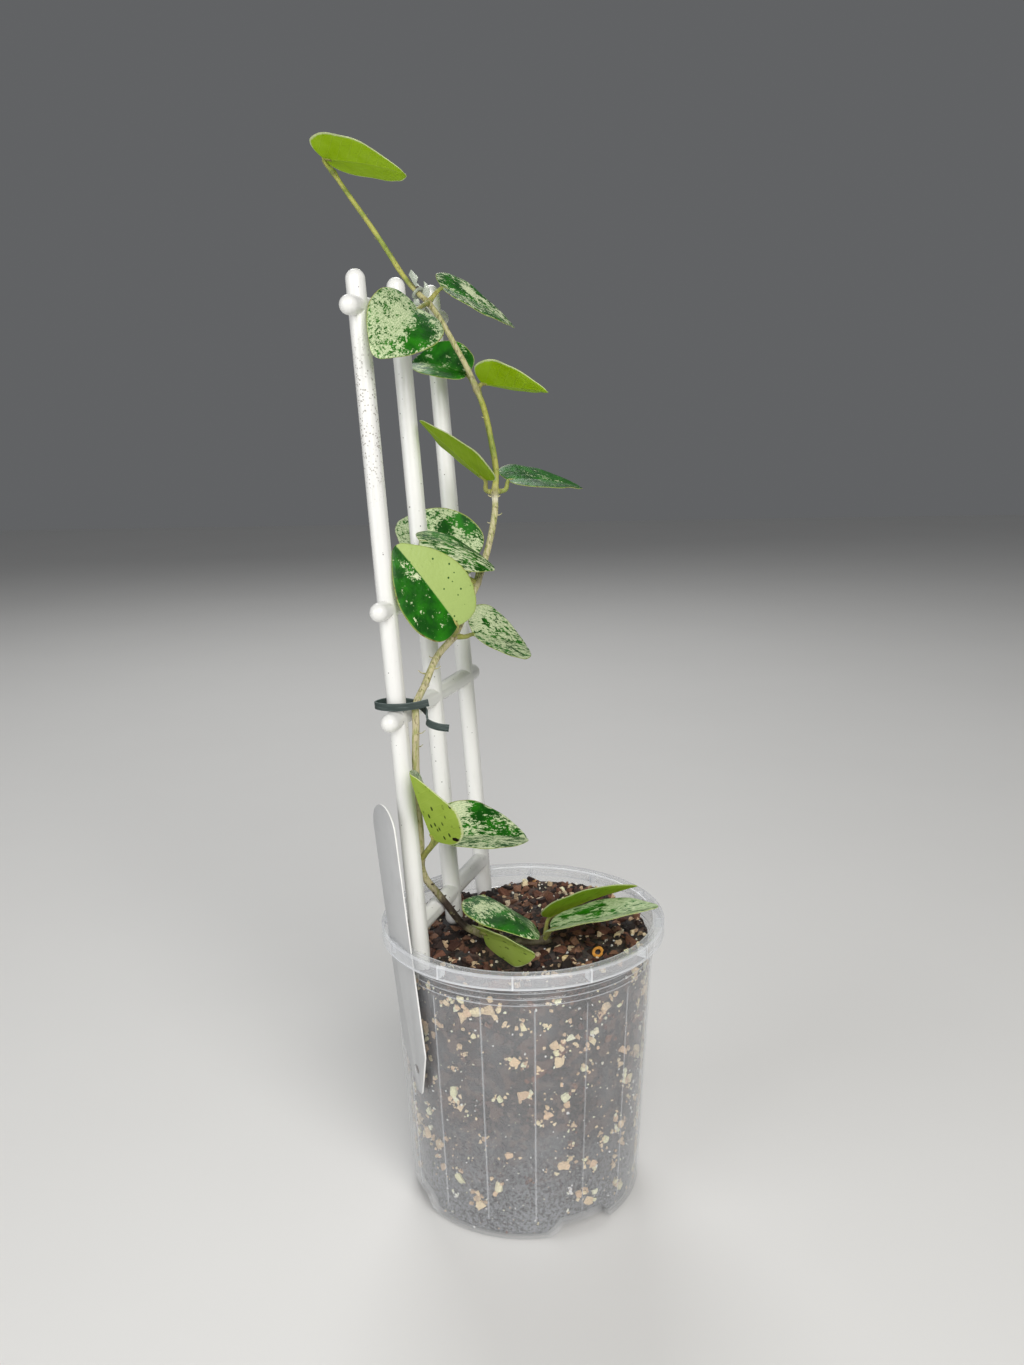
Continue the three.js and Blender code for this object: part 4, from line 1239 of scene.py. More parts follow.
@dataclass
class VineCane:
    """The vine's stem from the lowest leaf pair to the growing tip, with its aerial roots.

    A letter or word in points marks a node. ages holds (height, age) pairs, 0 green and 1 woody.
    """

    low: float = 1.55
    middle: float = 1.4
    tip: float = 0.95
    swell: float = 0.45
    reach: float = 3.2
    steps: int = 460
    sides: int = 14
    points: tuple = (
        ("", 11, -20.4, 121), ("low", 8.6, -20, 120.3), ("", 2.7, -20, 119.5), ("", -4.7, -18.5, 119.9),
        ("", -11, -16, 120.2), ("soil", -17.6, -12.6, 120.6), ("", -21.5, -10.2, 120.9),
        ("", -25.6, -9.3, 123.3), ("", -31.6, -10.2, 132.3), ("", -35.5, -12, 138.4),
        ("", -40.1, -15.2, 146.8), ("G", -41.6, -18.2, 155.4), ("", -41, -18.8, 162),
        ("", -41.8, -18.2, 180.9), ("", -42, -19, 197.9), ("", -41.7, -20, 206.5),
        ("", -41.3, -20.3, 212.7), ("", -41.1, -19, 220.5), ("", -37.8, -13, 227.2),
        ("", -32.8, -4, 237.4), ("F", -26.4, 1, 244.2), ("", -21.9, 8, 252.8), ("E", -16.9, 15, 263.7),
        ("", -13.6, 21, 272.4), ("", -10.5, 25, 284.4), ("", -9.1, 27, 292.5), ("D", -9, 28.5, 299.9),
        ("", -8.4, 30.5, 308.8), ("", -10.3, 34, 321.1), ("", -12.7, 38, 332.5), ("C", -15.9, 41, 341.6),
        ("", -19.5, 43, 349.8), ("", -24.9, 44.5, 360.1), ("", -30.5, 45.5, 370.3),
        ("B", -35.7, 46.5, 377.5), ("", -40, 49.5, 381.6), ("", -45.5, 53, 388), ("", -57.8, 56.5, 407),
        ("", -69.9, 59, 424.2), ("A", -74.8, 60, 431.5),
    )
    bud: tuple = ((-74.8, 60, 431.5), (-77.2, 60, 434), (-78.9, 60, 437.2))
    bud_radii: tuple = (0.9, 0.45)
    roots: tuple = (
        Root(418, 150, 1.6, 0.22), Root(414, 30, 1.4, 0.2), Root(404, 200, 1.9, 0.22),
        Root(398, 20, 1.2, 0.2), Root(290, -10, 2.4, 0.3), Root(294, -60, 1.3, 0.5),
        Root(287, 160, 1.6, 0.3), Root(298, 185, 1.8, 0.45), Root(297.5, -30, 1.3, 0.4),
        Root(330, 200, 1.2), Root(236, 170, 1.8, 0.4), Root(231, 165, 3.8, 0.42),
        Root(232.5, -25, 3.4, 0.34), Root(226, 40, 2.4), Root(209, -40, 4.2), Root(206, -80, 2.6),
        Root(203, 10, 2.0), Root(190, -60, 1.8), Root(172, -100, 1.6), Root(150, -60, 2.0),
        Root(140, 10, 2.2), Root(134, -90, 2.6), Root(128, 30, 2.2),
        Root(143, -40, 1.4, 0.5), Root(139, -120, 1.5, 0.6), Root(136, 20, 1.2, 0.6),
        Root(133.5, -60, 1.2, 0.55), Root(131, -10, 1.4, 0.6), Root(128.5, -80, 1.4, 0.6),
        Root(126, -30, 1.6, 0.5), Root(147, -80, 1.1, 0.45),
    )
    soil_line: float = 146.0
    soil_fade: float = 12.0
    mix_top: float = 120.9
    lying_from: float = -14.0
    crust_at: float = 297.2
    crust_width: float = 1.3
    old_below: float = 300.0
    dark_above: float = 380.0
    sharp: float = 60.0
    ages: tuple = ((120, 0.9), (200, 0.95), (296, 0.85), (304, 0.1), (336, 0.0), (343, 0.75),
                   (372, 0.8), (380, 0.65), (388, 0.05), (440, 0.05))

    def nodes(self) -> dict[str, np.ndarray]:
        """The places of the named nodes."""
        return {name: np.array(place, float) for name, *place in self.points if name}

    def path(self) -> np.ndarray:
        """The middle line, evenly spaced."""
        return evenly(smooth_path([p[1:] for p in self.points]), self.steps + 1)

    def _radii(self, path: np.ndarray) -> tuple[np.ndarray, np.ndarray]:
        """The radius along the vine, and how near each point is to a node, from 0 to 1."""
        along = np.linspace(0, 1, len(path))
        plain = np.interp(along, [0, 0.5, 1], [self.low, self.middle, self.tip])
        nodes = np.array(list(self.nodes().values()))
        away = np.linalg.norm(path[:, None] - nodes[None], axis=2).min(1)
        near = np.maximum(0, 1 - away / self.reach)
        return plain + self.swell * near, near

    def _rough(self, path: np.ndarray, radii: np.ndarray, near: np.ndarray) -> np.ndarray:
        """Roughens the vine with long ridges and a scar ring at each node.

        Args:
            path: the middle line.
            radii: the smooth radii.
            near: how near each point is to a node.

        Returns:
            The radius at each point and side.
        """
        along = np.arange(len(path))[:, None] / 6.0
        turn = np.linspace(0, 2 * math.pi, self.sides, endpoint=False)[None]
        ridges = 0.045 * np.sin(3 * turn + along * 0.6) + 0.035 * np.sin(5 * turn - along * 1.7)
        knots = 0.05 * np.sin(along * 2.9 + 2 * turn) * np.sin(along * 0.77)
        scar = np.where((near > 0.82) & (near < 0.93), 0.16, 0.0)[:, None]
        return radii[:, None] * (1 + ridges * 0.8) + knots + scar

    def _skin_layers(self, path: np.ndarray, near: np.ndarray) -> dict[str, list]:
        """The mesh layers along the vine.

        Args:
            path: the middle line.
            near: how near each of its points is to a node.

        Returns:
            Three rows of numbers for each layer: age, node and soil, and the crust three times.
        """
        heights = path[:, 2]
        soil = np.clip((self.soil_line - heights) / self.soil_fade, 0, 1)
        soil *= np.clip((heights - self.mix_top) / 1.5, 0, 1)
        lying = (path[:, 0] > self.lying_from) & (heights < self.mix_top + 1.1)
        soil = np.maximum(soil, np.where(lying, 0.8, 0))
        crust = np.exp(-((heights - self.crust_at) / self.crust_width) ** 2)
        return {"age": [np.interp(heights, *zip(*self.ages)), near, soil], "crust": [crust] * 3}

    def _root(self, root: Root, path: np.ndarray, radii: np.ndarray) -> Form:
        """One curved, tapered root.

        Args:
            root: its sizes.
            path: the vine's middle line.
            radii: the vine's radii.

        Returns:
            The root, which starts inside the vine.
        """
        number = int(np.abs(path[:, 2] - root.height).argmin())
        turn = math.radians(root.turn)
        out = np.array([math.cos(turn), math.sin(turn), 0.15])
        start = path[number] + out * (radii[number] - 0.4)
        bend = np.array([-0.3 * out[1], 0.3 * out[0], 0.55])
        line = [start, start + out * (0.45 * root.length + 0.4),
                start + out * (0.8 * root.length + 0.4) + bend * 0.45 * root.length]
        curve = evenly(smooth_path(line, 8), 10)
        return tube(curve, np.linspace(root.radius, root.radius * 0.3, 10), 7)

    def build(self, finish: Finish) -> Piece:
        """Makes the vine with its bud and roots."""
        path = self.path()
        radii, near = self._radii(path)
        form = tube(path, self._rough(path, radii, near), self.sides)
        for name, layer in self._skin_layers(path, near).items():
            form.layers[name] = np.repeat(np.stack(layer, 1), self.sides, axis=0)
        bud = evenly(smooth_path(self.bud), 12)
        forms = [form, tube(bud, np.linspace(*self.bud_radii, len(bud)), 10)]
        for root in self.roots:
            piece = self._root(root, path, radii)
            old = 0.9 if root.height < self.old_below else 0.4
            dark = float(root.height > self.dark_above)
            soiled = float(root.height < self.soil_line)
            piece.layers["age"] = np.tile([old, dark, soiled], (len(piece.points), 1))
            forms.append(piece)
        vine = make_object("vine_cane", together(forms), [finish], self.sharp)
        return mount_piece(vine, "stem", "vine_stem")


# ---- the leaves
@dataclass(frozen=True)
class Splash:
    """How one leaf is marked: cover, streakiness, silveriness and patchiness from 0 to 1.

    split is 1 or -1 where one half is plain pale; under, pale and dashes mark the underside. Each
    patch is (along, across, radius, change of cover) in millimetres, and each spot a dark one below.
    """

    cover: float
    streak: float = 0.5
    silver: float = 0.3
    patchy: float = 0.4
    split: float = 0.0
    under: float = 0.7
    pale: float = 0.1
    dashes: float = 0.2
    patches: tuple = ()
    spots: tuple = ()


@dataclass(frozen=True)
class HoyaLeaf:
    """One leaf: its node, base, direction, roll, length, width over length, fold and curl.

    The azimuth is counted from the rear to the right. A petiole bends through via.
    """

    node: str
    base: tuple
    azimuth: float
    elevation: float
    roll: float
    length: float
    ratio: float
    fold: float
    curl: float
    splash: Splash
    via: Optional[tuple] = None


@dataclass
class Foliage:
    """All the leaves, each with its petiole as one piece."""

    nodes: dict
    seed: int = 11
    rows: int = 44
    upper: float = 0.55
    lower: float = 0.42
    crease: float = 1.1
    groove: tuple = (0.22, 0.7)
    keel: tuple = (0.35, 1.0)
    petiole: tuple = (1.1, 0.72)
    petiole_steps: int = 26
    petiole_age: tuple = (0.15, 0.3, 0.0)
    knuckle: tuple = (0.22, 0.12, 0.08)
    spot_change: float = 1.6
    sharp: float = 75.0
    outline: tuple = ((0, 0), (-0.022, 0.2), (-0.022, 0.46), (0.02, 0.68), (0.1, 0.83), (0.22, 0.96),
                      (0.33, 1.0), (0.48, 0.98), (0.6, 0.89), (0.757, 0.67), (0.88, 0.41),
                      (0.947, 0.25), (0.985, 0.14), (1, 0))
    columns: tuple = (0, 0.03, 0.08, 0.16, 0.27, 0.39, 0.51, 0.63, 0.75, 0.85, 0.92, 0.965, 0.99, 1)
    leaves: tuple = (
        HoyaLeaf("A", (-78.8, 64.3, 437.6), 121.2, -6.4, -22.3, 44.1, 0.82, 5.9, 15.3,
                 Splash(0.6, 0.3, 0.3, 0.3, under=0.95, dashes=0.1)),
        HoyaLeaf("B", (-29.8, 52, 384.0), 54.3, -15.9, 33.3, 41.4, 0.77, 6.9, 13,
                 Splash(0.44, 0.4, 0.1, 0.3, under=0.8, patches=((16.8, -7.4, 3.6, 0.5),
                        (25.3, -5.8, 2.6, 0.5), (7, -6.4, 4, -0.35), (24.6, -13.8, 4, -0.4),
                        (33, 3.7, 6, 0.15)))),
        HoyaLeaf("B", (-37.5, 8.5, 372.7), -166.2, -17.3, -38.9, 39.2, 0.77, 8.8, 32.2,
                 Splash(0.55, 0.15, 0.45, 0.2, patches=((7.3, -3.5, 2.6, -0.8), (14, -8, 3.2, -0.9),
                        (20, -8, 3, -0.8), (26, -7.5, 3, -0.4), (14.6, 5.5, 8, 0.15)))),
        HoyaLeaf("C", (-13.6, 42, 344.5), 132.4, -5.3, -29.8, 36.1, 0.74, 20.8, 2,
                 Splash(0.45, 0.5, under=0.9, dashes=0.1)),
        HoyaLeaf("C", (-20.1, 47, 348.2), -60.1, 19.8, -44.1, 33.7, 0.7, 27.9, 29.3,
                 Splash(0.36, 0.5, 0.6, 0.4, patches=((16, 6.3, 4.5, -0.35), (21, -2.8, 4, 0.2)))),
        HoyaLeaf("D", (-12.6, 29, 305.1), -112.3, 41.7, 1.6, 37.5, 0.84, 6, 0.6,
                 Splash(0.4, 0.5, under=0.5, dashes=0.1), via=(-12.6, 28.7, 300.6)),
        HoyaLeaf("D", (-3.3, 30, 304.7), 56.2, 0.2, 17.4, 39.6, 0.72, 7.2, 16.2,
                 Splash(0.2, 0.3, 0.1, 0.3, patches=((13.4, -3.8, 2, 0.35), (20, -3, 2, 0.35))),
                 via=(-4.6, 29.2, 300.8)),
        HoyaLeaf("E", (-17, 26, 273.5), -68.2, 18, -72, 41.2, 0.72, 12.7, 10,
                 Splash(0.62, 0.2, 0.4, 0.25, patches=((12.6, 12.9, 3.4, -0.7), (17.5, 6.9, 3, -0.7),
                        (6.3, 10.4, 3, -0.6), (36, 0, 6, -0.1)))),
        HoyaLeaf("E", (-39, 2, 282.9), 73.8, -8.6, 24.5, 35.1, 0.77, -8.2, 30.6,
                 Splash(0.5, 0.9, 0.2, 0.2, patches=((15.6, -11.9, 2.6, -0.7), (19.6, -11.3, 2.6, -0.7),
                        (23.8, -9.9, 2.6, -0.7), (27.2, -7.6, 2.4, -0.6), (25.6, 6.8, 2, -0.4))),
                 via=(-33, 5, 273)),
        HoyaLeaf("F", (-24.3, -9, 250.1), -114.4, 55.9, -80.6, 40.7, 0.79, 3.7, 14.1,
                 Splash(0.1, 0.1, 0.1, 0.3, split=1.0, patches=((33, -2.5, 2.4, 0.4),
                        (29.5, -3, 2.4, 0.4), (26, -2, 2, 0.4), (26.2, -9.6, 1.6, 0.5),
                        (20, -9.6, 1.5, 0.5), (15.2, -9.1, 1.8, 0.5), (17.9, -3.2, 1.6, 0.5),
                        (9.7, -5, 1.7, 0.5), (4.8, -6.4, 1.6, 0.5), (13.8, -13, 1.6, 0.5)))),
        HoyaLeaf("F", (-18.7, 10, 243.4), 39.1, -15.5, 43, 39.2, 0.79, 18.2, 6.1,
                 Splash(0.56, 0.8, 0.3, 0.2, patches=((5.6, -9.6, 5.5, 0.6), (9.8, -7.5, 1.8, -0.9))),
                 via=(-22.4, 2, 243.6)),
        HoyaLeaf("G", (-35.2, -26, 166.9), -161.3, 53.8, -39.7, 41.5, 0.79, 34.8, -4.2,
                 Splash(0.6, 0.5, under=0.5, pale=0.5, dashes=1.0, spots=((4.2, -11.5, 1.5),))),
        HoyaLeaf("G", (-33, -16, 163.9), 60.6, -5.8, 24.1, 42.6, 0.78, 24.8, 12.9,
                 Splash(0.5, 0.5, 0.2, 0.25, patches=((12.3, -13.3, 4, 0.5), (20.2, -12.2, 4.5, -0.5),
                        (18, 5, 5, 0.12)))),
        HoyaLeaf("soil", (-16.8, -9.5, 136), 144.3, 1.8, -17.8, 40, 0.8, -19, 19,
                 Splash(0.4, 0.5, 0.25, 0.3, patches=((12.9, 9, 5, 0.4), (24.4, 7.5, 4, -0.5),
                        (30.5, 3.7, 4, -0.4), (34, -3, 3, 0.3)))),
        HoyaLeaf("soil", (-16.7, -17.1, 123), 137.5, 4.9, -57.9, 32.9, 0.73, -21.3, 7,
                 Splash(0.5, 0.5, under=0.8, pale=0.75, dashes=0.8)),
        HoyaLeaf("low", (11, -4, 123.5), 96.1, 30, -29.9, 40.8, 0.76, 8.4, 15,
                 Splash(0.5, 0.5, under=0.65, pale=0.25, dashes=0.3)),
        HoyaLeaf("low", (11.3, -23.5, 126.7), 100.3, 17.2, -6.4, 45.2, 0.74, 12, 2.8,
                 Splash(0.62, 0.8, 0.65, 0.2, patches=((5.4, -7.8, 2.4, -0.5), (10, -8.3, 2, -0.4),
                        (14.6, -8.4, 2.4, -0.5), (20.7, -10.6, 2.4, -0.5)))),
    )

    @staticmethod
    def _axes(leaf: HoyaLeaf) -> tuple[np.ndarray, np.ndarray, np.ndarray]:
        """The directions along the midrib, sideways, and out of the upper face."""
        az, el, roll = map(math.radians, (leaf.azimuth, leaf.elevation, leaf.roll))
        along = np.array([math.cos(el) * math.sin(az), math.cos(el) * math.cos(az), math.sin(el)])
        flat = np.cross(along, (0, 0, 1))
        flat /= np.linalg.norm(flat)
        over = np.cross(flat, along)
        up = over * math.cos(roll) + flat * math.sin(roll)
        side = flat * math.cos(roll) - over * math.sin(roll)
        return along, side, up

    def _point(self, leaf: HoyaLeaf, u: np.ndarray, out: np.ndarray, lift: np.ndarray) -> np.ndarray:
        """Places flat blade points on the curled, creased blade.

        Args:
            leaf: the leaf.
            u: how far along the midrib, from 0 to 1.
            out: how far sideways, in millimetres.
            lift: how far off the middle face.

        Returns:
            The points.
        """
        along, side, up = self._axes(leaf)
        curl, fold = math.radians(leaf.curl), math.radians(leaf.fold)
        away = np.sqrt(out ** 2 + self.crease ** 2) - self.crease
        rise = away * math.sin(fold) + lift
        angle = curl * u
        forward = leaf.length * np.sin(angle) / curl + rise * np.sin(angle)
        height = -leaf.length * (1 - np.cos(angle)) / curl + rise * np.cos(angle)
        return (np.array(leaf.base) + forward[..., None] * along
                + (out * math.cos(fold))[..., None] * side + height[..., None] * up)

    def _blade(self, leaf: HoyaLeaf, draw: Draws) -> Form:
        """The thick blade: two sides that meet in a rounded margin.

        Args:
            leaf: the leaf.
            draw: gives the waves of its surface.

        Returns:
            The closed blade.
        """
        margin = smooth_path([(u, w, 0) for u, w in self.outline], 12)
        margin = evenly(margin * np.array([1, leaf.ratio / 2, 1]), self.rows)
        rib = np.linspace(0, 1, self.rows)
        share = np.array([-c for c in self.columns[:0:-1]] + list(self.columns))
        near = np.abs(share)
        u = rib[:, None] + (margin[:, 0] - rib)[:, None] * near[None]
        out = leaf.length * margin[:, 1][:, None] * share[None]
        phase = draw.uniform(0, 2 * math.pi, 4)
        wave = (0.35 * np.sin(7 * u + phase[0] + 1.5 * np.sign(out)) + 0.2 * np.sin(17 * u + phase[1]))
        wave = wave * near[None] ** 2 * np.sin(math.pi * np.clip(u, 0, 1))
        rounding = np.sqrt(np.clip(np.sin(math.pi * rib), 0, 1))[:, None] ** 0.5
        body = np.sqrt(1 - near ** 6)[None] * rounding
        groove = self.groove[0] * np.exp(-(out / self.groove[1]) ** 2) * np.sin(math.pi * rib)[:, None]
        keel = self.keel[0] * np.exp(-(out / self.keel[1]) ** 2) * (1 - rib)[:, None]
        top = self._point(leaf, u, out, wave + self.upper * body - groove)
        bottom = self._point(leaf, u, out, wave - self.lower * body - keel * np.sign(body))
        points = np.vstack([top.reshape(-1, 3), bottom.reshape(-1, 3)])
        flat = np.stack([leaf.length * u, out, np.broadcast_to(near, u.shape)], -1).reshape(-1, 3)
        faces, slots = self._stitch(len(share))
        kept = sorted({c for face in faces for c in face})
        number = {old: new for new, old in enumerate(kept)}
        faces = [tuple(number[c] for c in face) for face in faces]
        return Form(points[kept], faces, slots, {"blade": np.vstack([flat, flat])[kept]})

    def _stitch(self, count: int) -> tuple[list, list]:
        """The faces of a blade's two sides, which share the points of the margin and of each end.

        Args:
            count: how many points a row has.

        Returns:
            The faces, and the side of each: 0 above and 1 below.
        """
        half = self.rows * count
        edge = {half + i * count + j: i * count + j for i in range(self.rows) for j in (0, count - 1)}
        for row in (0, self.rows - 1):
            for face in (0, half):
                for j in range(count):
                    edge[face + row * count + j] = row * count
        faces, slots = [], []
        for face in (0, 1):
            for i in range(self.rows - 1):
                for j in range(count - 1):
                    start = face * half + i * count + j
                    corners = (start, start + 1, start + count + 1, start + count)
                    corners = tuple(dict.fromkeys(edge.get(c, c) for c in corners))
                    if len(corners) > 2:
                        faces.append(corners if face == 0 else corners[::-1])
                        slots.append(face)
        return faces, slots

    @staticmethod
    def _blobs(blobs: Sequence[tuple], flat: np.ndarray) -> np.ndarray:
        """The sum of soft round blobs at flat blade points."""
        total = np.zeros(len(flat))
        for along, across, radius, change in blobs:
            away = (flat[:, 0] - along) ** 2 + (flat[:, 1] - across) ** 2
            total += change * np.exp(-away / radius ** 2)
        return total

    def _petiole(self, leaf: HoyaLeaf) -> Form:
        """The short stalk from the vine's node into the blade's underside."""
        ends = self._point(leaf, np.array([0.0, 0.09]), np.zeros(2), np.array([-0.5, -0.35]))
        middle = [leaf.via] if leaf.via else []
        path = evenly(smooth_path([self.nodes[leaf.node], *middle, *ends]), self.petiole_steps)
        along = np.linspace(0, 1, self.petiole_steps)
        proud, place, reach = self.knuckle
        thick = np.interp(along, [0, 1], self.petiole)
        thick = thick + proud * np.exp(-((along - place) / reach) ** 2) + 0.12 * np.sin(along * 19) * 0.3
        form = tube(path, thick, 12, 2)
        form.layers["age"] = np.tile(self.petiole_age, (len(form.points), 1))
        return form

    def build(self, top: Finish, under: Finish, bark: Finish) -> list[Piece]:
        """Makes every leaf.

        Args:
            top: the upper faces' finish.
            under: the undersides' finish.
            bark: the petioles' finish.

        Returns:
            The leaves in order, from the top of the vine down.
        """
        draw = np.random.default_rng(self.seed)
        made = []
        for number, leaf in enumerate(self.leaves, 1):
            form = together([self._blade(leaf, draw), self._petiole(leaf)])
            mark, flat = leaf.splash, form.layers["blade"]
            spots = [(*spot, self.spot_change) for spot in mark.spots]
            form.layers["patch"] = np.stack([self._blobs(mark.patches, flat), self._blobs(spots, flat),
                                             np.zeros(len(flat))], 1)
            for name, values in (("splash", (mark.cover, mark.streak, number)),
                                 ("habit", (mark.silver, mark.patchy, mark.split)),
                                 ("under", (mark.under, mark.pale, mark.dashes))):
                form.layers[name] = np.tile(np.array(values, float), (len(form.points), 1))
            piece = make_object(f"hoya_leaf_{number:02d}", form, [top, under, bark], self.sharp)
            made.append(mount_piece(piece, "leaf", f"leaf_{number:02d}"))
        return made


# ---- the tie and the clip
@dataclass
class StrapTie:
    """The dark flat strap round the pole and the vine, with two free ends."""

    height: float = 3.0
    thickness: float = 0.7
    steps: int = 150
    sharp: float = 50.0
    points: tuple = (
        (-36, -21.4, 222), (-40.9, -22.8, 221.2), (-47, -25, 221.1), (-53, -24.4, 221.1),
        (-57, -20.4, 221), (-54.8, -15.6, 221), (-48.5, -13.9, 221), (-41, -15.4, 220),
        (-37.2, -18.6, 217.4), (-36.4, -21.4, 214), (-33, -22, 212.4), (-28.2, -22, 211.6),
    )

    def _section(self) -> list[tuple[float, float]]:
        """The strap's flat section with rounded edges and a shallow groove on each face."""
        high, thick = self.height / 2, self.thickness / 2
        half = [(-high, 0), (-high + 0.08, thick * 0.7), (-high + 0.3, thick), (-0.5, thick * 0.92),
                (0.5, thick * 0.92), (high - 0.3, thick), (high - 0.08, thick * 0.7), (high, 0)]
        return half + [(h, -t) for h, t in half[-2:0:-1]]

    def build(self, trellis: LadderTrellis, finish: Finish, cut: Finish) -> Piece:
        """Makes the strap.

        Args:
            trellis: the ladder, along whose poles the strap's width is held.
            finish: its faces' plastic.
            cut: the finish of its two cut ends.

        Returns:
            The strap.
        """
        rings = self.steps + 1
        path = evenly(smooth_path(self.points), rings)
        tangent = tangents(path)
        up = trellis.up()[None] - tangent * (tangent @ trellis.up())[:, None]
        up /= np.linalg.norm(up, axis=1)[:, None]
        out = np.cross(tangent, up)
        section = np.array(self._section())
        count = len(section)
        points = path[:, None] + up[:, None] * section[None, :, :1] + out[:, None] * section[None, :, 1:]
        faces = skin(rings, count)
        slots = [0] * (len(faces) - 2) + [1, 1]
        far = np.linspace(0, np.linalg.norm(np.diff(path, axis=0), axis=1).sum(), rings)
        across = np.tile(section[:, 0], rings)
        band = np.stack([np.repeat(far, count), across, np.zeros(rings * count)], 1)
        form = Form(points.reshape(-1, 3), faces, slots, {"band": band})
        strap = make_object("tie_band", form, [finish, cut], self.sharp)
        return mount_piece(strap, "tie_strap", "plant_tie")


@dataclass
class VineClip:
    """The small clip: a ring round the vine on a springy saddle over the top rung, tab and jaw."""

    on_vine: tuple = (-40, 49.5, 381.6)
    vine_line: tuple = (-9.8, 6.5, 10.5)
    ring: tuple = (2.4, 0.7)
    saddle_at: float = 60.2
    saddle_width: float = 4.0
    saddle_thickness: float = 0.9
    saddle_sweep: float = 230.0
    gap: float = 0.3
    bridge: float = 2.4
    tab_depth: tuple = (48.4, 49.3)
    tab: tuple = ((-42.6, 391.0), (-39.7, 388.0), (-40.4, 385.8), (-38.9, 384.2), (-38.7, 383.0),
                  (-40.0, 383.0), (-40.8, 384.2), (-41.7, 385.4), (-43.6, 388.9))
    jaw_depth: tuple = (49.3, 50.6)
    jaw: tuple = ((-37.5, 386.4), (-36.1, 385.2), (-35.3, 383.7), (-35.1, 382.2), (-35.5, 380.6),
                  (-36.4, 379.2), (-37.7, 378.2), (-38.4, 379.4), (-38.2, 380.8), (-38.0, 382.2),
                  (-37.5, 383.6), (-37.3, 385.0))
    pivot: tuple = (-39.9, 383.5)
    pivot_radius: float = 0.85
    pivot_depth: tuple = (47.5, 49.5)
    edge_round: float = 0.14

    def _ring(self) -> Form:
        """The ring round the vine."""
        axis = Vector(self.vine_line).normalized()
        turn = Vector((0, 0, 1)).rotation_difference(axis).to_matrix()
        major, minor = self.ring
        points, faces = [], []
        across, along = 36, 12
        for i in range(across):
            a = 2 * math.pi * i / across
            for j in range(along):
                b = 2 * math.pi * j / along
                reach = major + minor * math.cos(b)
                spot = Vector((reach * math.cos(a), reach * math.sin(a), minor * math.sin(b)))
                points.append(turn @ spot + Vector(self.on_vine))
                k, m = (i + 1) % across, (j + 1) % along
                faces.append((i * along + j, k * along + j, k * along + m, i * along + m))
        return Form(np.array(points), faces)

    def build(self, trellis: LadderTrellis, finish: Finish, pin: Finish) -> Piece:
        """Makes the clip.

        Args:
            trellis: the ladder that it sits on.
            finish: its plastic.
            pin: its pivot pin's metal.

        Returns:
            The clip.
        """
        rung = trellis.at(self.saddle_at, trellis.rungs[0])
        along = Vector(trellis.along())
        up = Vector((0, 0, 1))
        across = up.cross(along)
        place = Matrix.Translation(Vector(rung)) @ Matrix((across, up, along)).transposed().to_4x4()
        inner = trellis.rung + self.gap
        outer = inner + self.saddle_thickness
        half = self.saddle_sweep / 2
        outline = arc((0, 0), outer, 90 - half, 90 + half, 33)
        outline += arc((0, 0), inner, 90 + half, 90 - half, 33)
        saddle = prism(outline, -self.saddle_width / 2, self.saddle_width / 2, place)
        clip = make_object("top_clip_body", saddle, [finish, pin])
        low, high = rung[2] + inner + self.saddle_thickness / 2, self.on_vine[2] - self.ring[0]
        side = self.bridge / 2
        square = [(-side, -side), (side, -side), (side, side), (-side, side)]
        carve(clip, prism(square, low, high, Matrix.Translation((rung[0], rung[1], 0))), Cut.ADD)
        stand = Matrix.Rotation(math.pi / 2, 4, "X")
        for outline, (front, back) in ((self.tab, self.tab_depth), (self.jaw, self.jaw_depth)):
            carve(clip, prism(outline, -back, -front, stand), Cut.ADD)
        carve(clip, self._ring(), Cut.ADD)
        pivot = prism(arc(self.pivot, self.pivot_radius, 0, 340, 18), -self.pivot_depth[1],
                      -self.pivot_depth[0], stand)
        pivot.slots = [1] * len(pivot.faces)
        carve(clip, pivot, Cut.ADD)
        bevelled(clip, self.edge_round)
        return mount_piece(clip, "clip_plastic", "top_clip")


# ---- the potting mix
class Lump(Enum):
    """The kinds of lump in the mix."""

    BARK = "bark"
    PUMICE = "pumice"
    PERLITE = "perlite"


@dataclass(frozen=True)
class Kind:
    """One kind of lump: its half-length's range, flatness's range and colours."""

    sizes: tuple
    flat: tuple
    colours: tuple


KINDS = {
    Lump.BARK: Kind((1.1, 4.2), (0.35, 0.75), (
        (0.060, 0.023, 0.014), (0.024, 0.011, 0.008), (0.11, 0.045, 0.026), (0.012, 0.007, 0.006),
        (0.15, 0.075, 0.045))),
    Lump.PUMICE: Kind((0.9, 2.5), (0.6, 0.95), (
        (0.56, 0.44, 0.28), (0.62, 0.50, 0.34), (0.50, 0.38, 0.24), (0.42, 0.30, 0.19))),
    Lump.PERLITE: Kind((0.35, 1.3), (0.6, 0.95), (
        (0.75, 0.70, 0.60), (0.62, 0.58, 0.50), (0.70, 0.60, 0.44))),
}


@dataclass(frozen=True)
class Chip:
    """A chip on top of the mix: where, its half-length, colour, flatness, and whether it is a ring."""

    x: float
    y: float
    size: float
    colour: tuple
    flat: float = 0.7
    ring: bool = False


